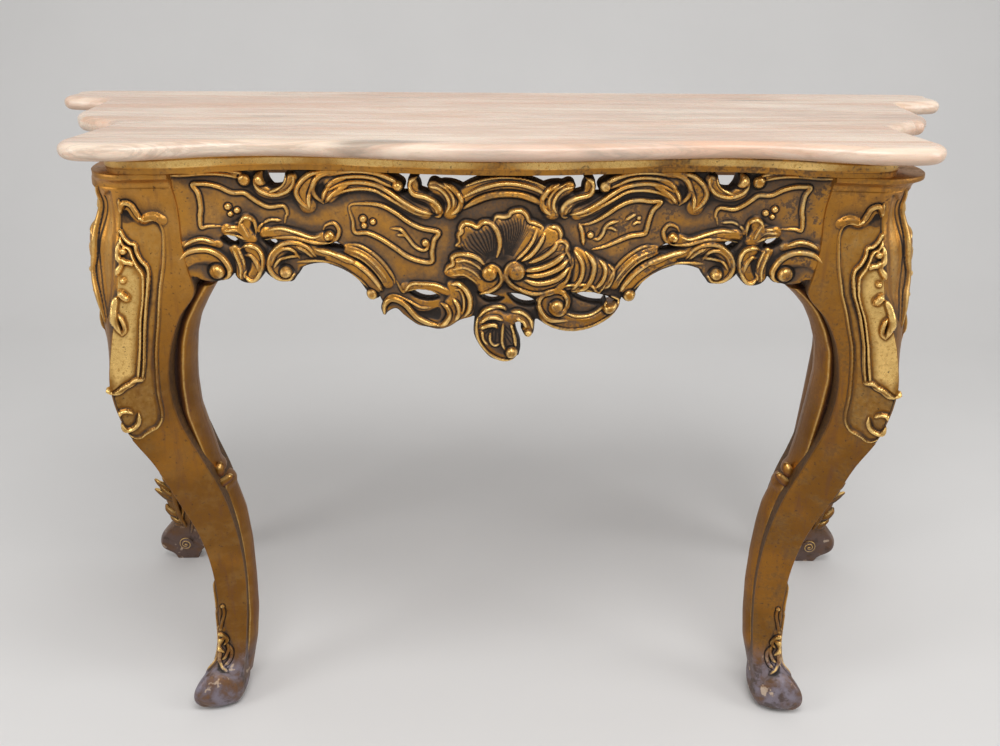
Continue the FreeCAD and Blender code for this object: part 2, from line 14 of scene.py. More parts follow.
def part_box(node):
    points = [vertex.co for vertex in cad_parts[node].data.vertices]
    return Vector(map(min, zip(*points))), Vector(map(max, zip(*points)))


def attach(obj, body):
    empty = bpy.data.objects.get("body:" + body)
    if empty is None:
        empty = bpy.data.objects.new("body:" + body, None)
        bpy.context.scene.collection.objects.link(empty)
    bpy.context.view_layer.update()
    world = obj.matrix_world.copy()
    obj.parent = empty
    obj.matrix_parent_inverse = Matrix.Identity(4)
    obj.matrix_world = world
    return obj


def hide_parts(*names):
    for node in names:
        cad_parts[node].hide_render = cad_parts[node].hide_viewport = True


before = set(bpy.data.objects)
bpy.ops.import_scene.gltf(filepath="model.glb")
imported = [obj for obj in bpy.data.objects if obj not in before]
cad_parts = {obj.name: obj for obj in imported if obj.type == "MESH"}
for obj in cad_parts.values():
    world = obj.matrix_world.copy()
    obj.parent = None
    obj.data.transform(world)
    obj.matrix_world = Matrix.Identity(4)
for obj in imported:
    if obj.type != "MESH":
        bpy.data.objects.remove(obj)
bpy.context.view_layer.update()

bl_info = {
    "name": "Rococo pier table",
    "version": (1, 0, 0),
    "blender": (4, 5, 0),
    "location": "View3D > Sidebar > Pier table",
    "description": "Builds a carved and gilded pier table with a marble slab",
    "category": "Add Mesh",
}

BODY = "root"
MM = 0.001
PER_METRE = 1000
PLAN_MID = 232.5             # depth in plan at which the frame has its origin
SLAB_LOW, SLAB_TOP = (PER_METRE * p.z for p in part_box("marble_top"))
EDGE_MIDDLE = (SLAB_LOW + SLAB_TOP) / 2
RAIL_LOW = PER_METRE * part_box("top_rail_front")[0].z
APRON_LOW = PER_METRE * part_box("front_apron")[0].z
APRON_T = 24.0               # thickness of the apron boards
POST_X = 395.0               # inner face of the front posts
POST_BACK = 125.0            # back face of the front posts
REAR_FRONT = 395.0           # front face of the rear posts
CURVE_STEP = 1.5             # usual spacing of the points on a curve
FINE_STEP = 1.0              # and on the plan lines
TINY = 1e-12
STRAIGHT = 1e-6              # three points this close to a line have no arc


# ---- curves
def place(x, depth, z):
    """Plan millimetres to the frame's metres."""
    return np.stack(np.broadcast_arrays(
        np.multiply(x, MM), np.multiply(np.subtract(depth, PLAN_MID), MM),
        np.multiply(z, MM)), -1)


def arc(a, b, c, step=CURVE_STEP):
    """Points on the circle arc from a through b to c."""
    a, b, c = (np.array(p, float) for p in (a, b, c))
    u, v = b - a, c - a
    cross = u[0] * v[1] - u[1] * v[0]
    if abs(cross) < STRAIGHT:
        return np.array([a, c])
    uu, vv = u @ u, v @ v
    centre = a + np.array([v[1] * uu - u[1] * vv, u[0] * vv - v[0] * uu]) / (2 * cross)
    radius = np.linalg.norm(a - centre)
    t0 = math.atan2(*(a - centre)[::-1])
    turn = (math.atan2(*(c - centre)[::-1]) - t0) % (2 * math.pi)
    if cross < 0:
        turn -= 2 * math.pi
    n = max(3, int(abs(turn) * radius / step) + 2)
    t = t0 + turn * np.linspace(0, 1, n)
    return centre + radius * np.stack([np.cos(t), np.sin(t)], 1)


def smooth(points, step=CURVE_STEP):
    """A smooth curve through the points."""
    p = np.array(points, float)
    if len(p) == 2:
        n = max(2, int(np.linalg.norm(p[1] - p[0]) / step) + 1)
        return p[0] + (p[1] - p[0]) * np.linspace(0, 1, n)[:, None]
    closed = np.allclose(p[0], p[-1])
    before = p[-2] if closed else 2 * p[0] - p[1]
    after = p[1] if closed else 2 * p[-1] - p[-2]
    q = np.vstack([before, p, after])
    out = []
    for i in range(1, len(q) - 2):
        a, b, c, d = q[i - 1:i + 3]
        n = max(2, int(np.linalg.norm(c - b) / step) + 1)
        t = np.linspace(0, 1, n, endpoint=False)[:, None]
        out.append(0.5 * (2 * b + (c - a) * t + (2 * a - 5 * b + 4 * c - d) * t ** 2
                          + (3 * b - a - 3 * c + d) * t ** 3))
    out.append(q[-2][None])
    return np.vstack(out)


def rounded(corners, step=CURVE_STEP):
    """A run of straight lines joined by arcs, from (x, y, radius) corners."""
    p = [np.array(c[:2], float) for c in corners]
    out = [p[0][None]]
    for i in range(1, len(p) - 1):
        u = (p[i - 1] - p[i]) / np.linalg.norm(p[i - 1] - p[i])
        v = (p[i + 1] - p[i]) / np.linalg.norm(p[i + 1] - p[i])
        half = math.acos(np.clip(u @ v, -1, 1)) / 2
        r = corners[i][2]
        mid = (u + v) / np.linalg.norm(u + v)
        a, b = p[i] + u * r / math.tan(half), p[i] + v * r / math.tan(half)
        out.append(arc(a, p[i] + mid * (r / math.sin(half) - r), b, step))
    out.append(p[-1][None])
    return np.vstack(out)


def even(path, step):
    """The path again with points an even step apart."""
    path = np.asarray(path, float)
    run = np.r_[0, np.cumsum(np.linalg.norm(np.diff(path, axis=0), axis=1))]
    at = np.linspace(0, run[-1], max(2, int(round(run[-1] / step)) + 1))
    return np.stack([np.interp(at, run, path[:, i]) for i in range(path.shape[1])], 1)


def outline(segments):
    """One closed outline: two points are a line, three an arc, more a smooth curve."""
    parts = []
    for seg in segments:
        line = arc(*seg) if len(seg) == 3 else smooth(seg)
        parts.append(line[:-1])
    return np.vstack(parts)


def flip(segments):
    """The segments mirrored to the other side, and run in the same sense."""
    return [[(-x, z) for x, z in reversed(seg)] for seg in reversed(segments)]


# ---- carving
# Items are (kind, half width, height, points):
#   m  a soft swelling along the points
#   r  a round ridge that tapers out at both ends, on top of what is there
#   e  a ridge of even width, for borders
#   g  a groove, cut into what is there
#   b  a ball, as (kind, radius, rise, [centre])
#   p  a flat raised area with a soft rim inside a closed outline
#   s  a sunk area inside a closed outline
#   w  a stained area inside a closed outline, with no height of its own
RIDGE_LIFT = 1.35            # ridges stand this much higher than their items say,
RIDGE_SPREAD = 1.18          # and tapering ones are this much wider
MASS_LIFT = 0.9              # swellings and raised areas are this much lower
TAPER_SHARE = 0.22           # share of a ridge's length over which each end tapers
TAPER_TIP = 0.30             # share of its width that is left at the tip
SWELL_POWER = 0.8            # how round a swelling is across
AREA_POWER = 0.6             # how steeply an area rises or sinks from its outline
# A cut round each ball: its depth, and its place and width as shares of the radius.
RING_DEPTH, RING_PLACE, RING_WIDTH = 1.6, 1.16, 0.15
# A cut beside each ridge: share of the ridge's height, distance from it and width.
FLANK_SHARE, FLANK_OFF, FLANK_WIDTH = 0.5, 0.6, 0.8
CUT_COVER = 0.8              # a ridge this high hides the cuts and stains under it
ITEM_PAD = 4                 # an item is worked out this far beyond its own width


def near(path, x, z):
    """Distance from each (x, z) to the path, and how far along it from 0 to 1."""
    a, b = path[:-1], path[1:]
    run = np.r_[0, np.cumsum(np.linalg.norm(b - a, axis=1))]
    best = np.full(x.shape, 1e9)
    along = np.zeros(x.shape)
    for i in range(len(a)):
        d = b[i] - a[i]
        length = d @ d
        if length < TINY:
            continue
        t = np.clip(((x - a[i, 0]) * d[0] + (z - a[i, 1]) * d[1]) / length, 0, 1)
        dist = (x - a[i, 0] - t * d[0]) ** 2 + (z - a[i, 1] - t * d[1]) ** 2
        closer = dist < best
        best = np.where(closer, dist, best)
        along = np.where(closer, run[i] + t * math.sqrt(length), along)
    return np.sqrt(best), along / run[-1]


def inside(path, x, z):
    """Which (x, z) lie inside the closed path."""
    hit = np.zeros(x.shape, bool)
    a, b = path, np.roll(path, -1, 0)
    for (x0, z0), (x1, z1) in zip(a, b):
        if z0 == z1:
            continue
        crosses = (z0 > z) != (z1 > z)
        hit ^= crosses & (x < x0 + (z - z0) * (x1 - x0) / (z1 - z0))
    return hit


def signed(path, x, z):
    """Distance to a closed outline, below zero inside it."""
    closed = np.vstack([path, path[:1]])
    dist, _ = near(closed, x, z)
    return np.where(inside(path, x, z), -dist, dist)


def window_round(points, pad, x, z):
    """Which (x, z) lie inside the box round the points, grown by the pad."""
    pts = np.array(points, float)
    return ((x > pts[:, 0].min() - pad) & (x < pts[:, 0].max() + pad)
            & (z > pts[:, 1].min() - pad) & (z < pts[:, 1].max() + pad))


def taper(s):
    """Width along a tapering ridge: slight at its ends, 1 over its middle."""
    e = np.clip(np.minimum(s, 1 - s) / TAPER_SHARE, 0, 1)
    return TAPER_TIP + (1 - TAPER_TIP) * np.sin(e * math.pi / 2)


def carve(items, x, z):
    """Height of the carving at each (x, z), in millimetres, and its stain."""
    mass = np.zeros(x.shape)
    fine = np.zeros(x.shape)
    cut = np.zeros(x.shape)
    stain = np.zeros(x.shape)
    for kind, width, height, points in items:
        window = window_round(points, width + ITEM_PAD, x, z)
        if not window.any():
            continue
        xs, zs = x[window], z[window]
        if kind == "b":
            (centre_x, centre_z), = points
            d = np.hypot(xs - centre_x, zs - centre_z) / width
            dome = height * np.sqrt(np.clip(1 - d ** 2, 0, 1))
            ring = -RING_DEPTH * np.exp(-((d - RING_PLACE) / RING_WIDTH) ** 2)
            fine[window] = np.maximum(fine[window], dome)
            cut[window] = np.minimum(cut[window], ring)
            continue
        if kind in "psw":
            path = smooth(list(points) + [points[0]])
            depth = -signed(path[:-1], xs, zs)
            share = np.where(depth > 0, np.clip(depth / width, 0, 1), 0)
            if kind == "p":
                raised = MASS_LIFT * height * share ** AREA_POWER
                mass[window] = np.maximum(mass[window], raised)
            elif kind == "s":
                cut[window] = np.minimum(cut[window], -height * share ** AREA_POWER)
            else:
                stain[window] += height * share
            continue
        dist, s = near(smooth(points), xs, zs)
        wide = width * (RIDGE_SPREAD * taper(s) if kind == "r" else 1.0)
        t = np.clip(dist / wide, 0, 1)
        if kind == "m":
            swell = MASS_LIFT * height * (1 - t ** 2) ** SWELL_POWER
            mass[window] = np.maximum(mass[window], swell)
        elif kind == "g":
            cut[window] = np.minimum(cut[window], -height * (1 - t ** 2))
        else:
            grown = taper(s) if kind == "r" else np.ones(s.shape)
            ridge = RIDGE_LIFT * height * grown * np.sqrt(1 - t ** 2)
            fine[window] = np.maximum(fine[window], ridge)
            off = (dist - wide - FLANK_OFF) / FLANK_WIDTH
            flank = -FLANK_SHARE * height * grown * np.exp(-off ** 2)
            cut[window] = np.minimum(cut[window], flank)
    free = 1 - np.clip(fine / CUT_COVER, 0, 1)
    return mass + fine + cut * free, stain * free


def blur(field, cells, keep):
    """Mean of the field over a square window, counting only the kept cells."""
    def box(a):
        for axis in (0, 1):
            c = np.cumsum(np.insert(a, 0, 0, axis), axis)
            n = a.shape[axis]
            hi = np.clip(np.arange(n) + cells + 1, 0, n)
            lo = np.clip(np.arange(n) - cells, 0, n)
            a = np.take(c, hi, axis) - np.take(c, lo, axis)
        return a
    w = keep.astype(float)
    return box(box(field * w)) / np.maximum(box(box(w)), TINY)


CLOSE_REACH, FAR_REACH = 2.4, 10.0       # how far round a point its neighbours count
CLOSE_SHARE, FAR_SHARE = 0.9, 0.8        # how much each of the two reaches counts
RUB_SHARE = 0.5                          # rubbed areas count this much at the edges


def hollows(height, keep, stain, cell):
    """How far each point lies below what is round it, overall and just beside it."""
    close, far = int(round(CLOSE_REACH / cell)), int(round(FAR_REACH / cell))
    beside = CLOSE_SHARE * (blur(height, close, keep) - height)
    overall = beside + FAR_SHARE * (blur(height, far, keep) - height) + stain
    return np.stack([overall, beside + RUB_SHARE * np.minimum(stain, 0)], -1)


# ---- plan lines
# Half outlines as (x, depth, corner radius), from the middle to the wall.
SLAB_EDGE = [(60, -4, 420), (295, 34, 260), (430, -14, 80), (521, -13, 42),
             (500, 152, 14), (563, 203, 20), (582, 242, 40),
             (592, 378, 12), (674, 404, 24), (666, 479, 36)]
SLAB_BACK = 479.0
RAIL_EDGE = [(60, 17, 420), (262, 52, 270), (400, 12, 120), (468, 12, 34),
             (474, 160, 60), (556, 214, 60), (566, 378, 40), (628, 410, 26), (626, 470, 1)]
APRON_FACE = [(60, 23, 420), (262, 57, 270), (405, 27, 0)]
SIDE_FACE = [(482, 125, 0), (486, 172, 50), (556, 222, 60), (564, 366, 60), (584, 395, 0)]
SIDE_PROFILE = [
    [(125, 822), (125, 690)], [(125, 690), (142, 682), (160, 700)],
    [(160, 700), (186, 716), (214, 706)], [(214, 706), (236, 690), (260, 668)],
    [(260, 668), (284, 690), (306, 706)], [(306, 706), (334, 716), (360, 700)],
    [(360, 700), (378, 682), (395, 690)], [(395, 690), (395, 822)],
    [(395, 822), (125, 822)],
]

# Outline of the fretted front board, in x and z: its lower edge from the left
# post to the pendant, and its upper edge from the crest to the left post.
BOARD_LEFT = [
    [(-395, 822), (-395, 690)],
    [(-395, 690), (-377, 689)],
    [(-377, 689), (-352, 683), (-333, 695)],
    [(-333, 695), (-314, 678), (-297, 695)],
    [(-297, 695), (-270, 680), (-250, 697)],
    [(-250, 697), (-210, 702), (-169, 670)],
    [(-169, 670), (-161, 660), (-152, 664)],
    [(-152, 664), (-149, 657)],
    [(-149, 657), (-151, 647), (-147, 639)],
    [(-147, 639), (-140, 646), (-131, 649), (-123, 642), (-114, 635)],
    [(-114, 635), (-104, 629), (-92, 627), (-78, 625), (-65, 629), (-50, 640), (-33, 644)],
]
PENDANT = [
    [(-33, 644), (-33, 617), (-15, 590), (6, 584), (23, 592)],
    [(23, 592), (25, 606), (20, 622), (17, 636)],
    [(17, 636), (22, 639), (25, 630)],
    [(25, 630), (31, 618), (40, 621), (43, 640)],
    [(43, 640), (46, 640)],
]
BOARD_RIGHT = [
    [(46, 640), (58, 633), (92, 626), (126, 633), (147, 655)],
    [(147, 655), (152, 664)],
]
LEFT_MIDDLE = 4              # lines at the end of BOARD_LEFT that the right doesn't mirror
CREST_TOP = [[(46, 808), (0, 821), (-46, 808)]]
CREST_LEFT = [
    [(-46, 808), (-62, 813), (-82, 809)],
    [(-82, 809), (-86, 800), (-96, 801)],
    [(-96, 801), (-98, 812), (-104, 818)],
    [(-104, 818), (-110, 808), (-113, 798)],
    [(-113, 798), (-124, 800), (-132, 822)],
    [(-132, 822), (-252, 822)],
    [(-252, 822), (-257, 802), (-271, 796)],
    [(-271, 796), (-283, 806), (-284, 822)],
    [(-284, 822), (-395, 822)],
]
# The first ones are on both sides, the last one only on the left.
BOTH_PIERCED = 3
PIERCINGS = [
    [[(-343, 738), (-333, 729), (-324, 728)], [(-324, 728), (-330, 740), (-343, 738)]],
    [[(-294, 735), (-286, 725), (-276, 722)], [(-276, 722), (-282, 735), (-294, 735)]],
    [[(-229, 732), (-210, 733), (-192, 724)], [(-192, 724), (-212, 726), (-229, 732)]],
    [[(-113, 673), (-94, 664), (-77, 668)], [(-77, 668), (-92, 677), (-113, 673)]],
]
CENTRE_PIERCINGS = [
    [[(-28, 677), (-14, 664), (3, 669)], [(3, 669), (-12, 672), (-28, 677)]],
    [[(9, 674), (26, 660), (46, 662)], [(46, 662), (30, 671), (9, 674)]],
    [[(84, 677), (112, 660), (145, 662)], [(145, 662), (116, 672), (84, 677)]],
]


def both_sides(corners):
    """Half an outline's corners mirrored in front of the half itself."""
    return [(-x, y, r) for x, y, r in reversed(corners)] + list(corners)


def face_depth(x):
    """Depth of the serpentine front face of the apron at x."""
    line = rounded(both_sides(APRON_FACE), FINE_STEP)
    return np.interp(x, line[:, 0], line[:, 1])


# ---- meshes
# How deep each point lies in the carving, overall and just beside it.
DEPTH_LAYER, EDGE_LAYER = "carving_depth", "carving_edge"


def new_object(name, verts, faces, material):
    """A smooth-shaded object with one material, not yet tied to anything."""
    mesh = bpy.data.meshes.new(name)
    mesh.from_pydata(verts, [], [list(map(int, f)) for f in faces])
    mesh.polygons.foreach_set("use_smooth", [True] * len(mesh.polygons))
    mesh.materials.append(material)
    mesh.update()
    made = bpy.data.objects.new(name, mesh)
    bpy.context.scene.collection.objects.link(made)
    return made


def add_piece(name, verts, faces, material, hollow=None):
    """A new object that rides on the table's body."""
    piece = new_object(name, verts.tolist(), faces, material)
    if hollow is not None:
        hollow = np.broadcast_to(np.reshape(hollow, (len(verts), -1)), (len(verts), 2))
        for column, label in enumerate((DEPTH_LAYER, EDGE_LAYER)):
            layer = piece.data.attributes.new(label, "FLOAT", "POINT")
            layer.data.foreach_set("value", np.array(hollow[:, column], np.float32))
    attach(piece, BODY)
    return piece


def grid_faces(rows, cols, wrap=False, flip_side=False):
    """Quads over a grid of points laid out row by row."""
    across = cols if wrap else cols - 1
    i, j = np.meshgrid(np.arange(rows - 1), np.arange(across), indexing="ij")
    j2 = (j + 1) % cols
    a, b, c, d = i * cols + j, i * cols + j2, (i + 1) * cols + j2, (i + 1) * cols + j
    quads = np.stack([a, b, c, d], -1).reshape(-1, 4)
    return quads[:, ::-1] if flip_side else quads


def tube_faces(rows, cols, flip_side=False):
    """Quads round a tube of rows, with a face over each end."""
    first, last = list(range(cols)), list(range((rows - 1) * cols, rows * cols))
    ends = [first, last[::-1]] if flip_side else [first[::-1], last]
    return list(grid_faces(rows, cols, wrap=True, flip_side=flip_side)) + ends


def normals_of(p):
    """Unit normals of a grid of points whose columns run round."""
    around = np.roll(p, -1, 1) - np.roll(p, 1, 1)
    n = np.cross(around, np.gradient(p, axis=0))
    return n / np.maximum(np.linalg.norm(n, axis=2, keepdims=True), TINY)


def outward(ahead):
    """Unit directions out of a plan line, from the way it runs at each point."""
    out = np.stack([ahead[:, 1], -ahead[:, 0]], 1)
    return out / np.linalg.norm(out, axis=1, keepdims=True)


def ease(line, rounds):
    """Smooths a run of values in place, with its two ends held."""
    for _ in range(rounds):
        line[1:-1] = (line[:-2] + 2 * line[1:-1] + line[2:]) / 4


def mirror_piece(verts, faces):
    """The same shape for the other side of the table."""
    flipped = verts * np.array([-1.0, 1.0, 1.0])
    return flipped, [tuple(reversed([int(k) for k in f])) for f in faces]


# ---- fretted boards
STROKE_SHARE = 0.8           # share of a stroke's width that the board grows to carry it
STROKE_PAD = 12              # a stroke can widen the board this far round it
RIM_REACH = 1.4              # cells that a point at the sawn edge may move to reach it
LEAST_SLOPE = 0.5            # keeps those moves short where the edge turns sharply


def board_distance(edge, holes, items, x, z):
    """Distance to the sawn edge, below zero in the wood, strokes at the edge included."""
    dist = signed(outline(edge), x, z)
    for hole in holes:
        dist = np.maximum(dist, -signed(outline(hole), x, z))
    for kind, width, _, points in items:
        if kind not in "mr":
            continue
        window = window_round(points, STROKE_PAD, x, z)
        away, _ = near(smooth(points), x[window], z[window])
        dist[window] = np.minimum(dist[window], away - STROKE_SHARE * width)
    return dist


def board_walls(cells, number, n):
    """Quads that join front and back round the board's edge and its openings."""
    here, ahead = slice(None, -1), slice(1, None)
    padded = np.pad(cells, 1)
    sides = (((here, here), (here, ahead), padded[:-2, 1:-1]),
             ((ahead, ahead), (ahead, here), padded[2:, 1:-1]),
             ((ahead, here), (here, here), padded[1:-1, :-2]),
             ((here, ahead), (ahead, ahead), padded[1:-1, 2:]))
    walls = []
    for start, end, beside in sides:
        open_side = cells & ~beside
        p, q = number[start][open_side], number[end][open_side]
        walls.append(np.stack([p, q, q + n, p + n], -1))
    return walls


def fretted_board(edge, holes, items, x_range, z_range, cell, to_space, ground, soften):
    """A sawn board with a carved face. to_space turns (along, z, depth) into metres.

    Returns vertices, faces and how deep each vertex lies in the carving.
    """
    (x0, x1), (z0, z1) = x_range, z_range
    nx, nz = int((x1 - x0) / cell) + 1, int((z1 - z0) / cell) + 1
    xs, zs = np.meshgrid(np.linspace(x0, x1, nx), np.linspace(z0, z1, nz), indexing="ij")
    dist = board_distance(edge, holes, items, xs, zs)
    solid = dist < 0
    cells = solid[:-1, :-1].astype(int) + solid[1:, :-1] + solid[:-1, 1:] + solid[1:, 1:] >= 3
    gx, gz = np.gradient(dist, xs[1, 0] - xs[0, 0], zs[0, 1] - zs[0, 0])
    slope = np.maximum(np.hypot(gx, gz), LEAST_SLOPE)
    used = np.zeros(solid.shape, int)
    for a in (0, 1):
        for b in (0, 1):
            used[a:a + nx - 1, b:b + nz - 1] += cells
    rim = (used > 0) & (used < 4)
    edge_x = (xs < x0 + cell / 2) | (xs > x1 - cell / 2)
    edge_z = (zs > z1 - cell / 2)
    reach = RIM_REACH * cell
    move = np.where(rim & ~edge_x & ~edge_z, np.clip(dist, -reach, reach), 0)
    px = xs - move * gx / slope ** 2
    pz = np.minimum(zs - move * gz / slope ** 2, z1)
    relief, stain = carve(items, px, pz)
    kept = used > 0
    inset = np.clip(-dist, 0, soften)
    inset[rim] = 0
    drop = soften - np.sqrt(np.maximum(soften ** 2 - (soften - inset) ** 2, 0))
    drop[edge_x | edge_z] = 0
    height = relief - ground - drop
    hollow = hollows(height, kept, stain, cell)
    number = -np.ones(solid.shape, int)
    number[kept] = np.arange(kept.sum())
    n = kept.sum()
    front = to_space(px[kept], pz[kept], -height[kept])
    back = to_space(px[kept], pz[kept], np.full(n, APRON_T))
    quads = np.stack([number[:-1, :-1], number[1:, :-1], number[1:, 1:], number[:-1, 1:]], -1)
    quads = quads[cells]
    faces = np.vstack([quads, quads[:, ::-1] + n] + board_walls(cells, number, n))
    depth = np.vstack([hollow[kept], np.zeros((n, 2))])
    return np.vstack([front, back]), faces, depth


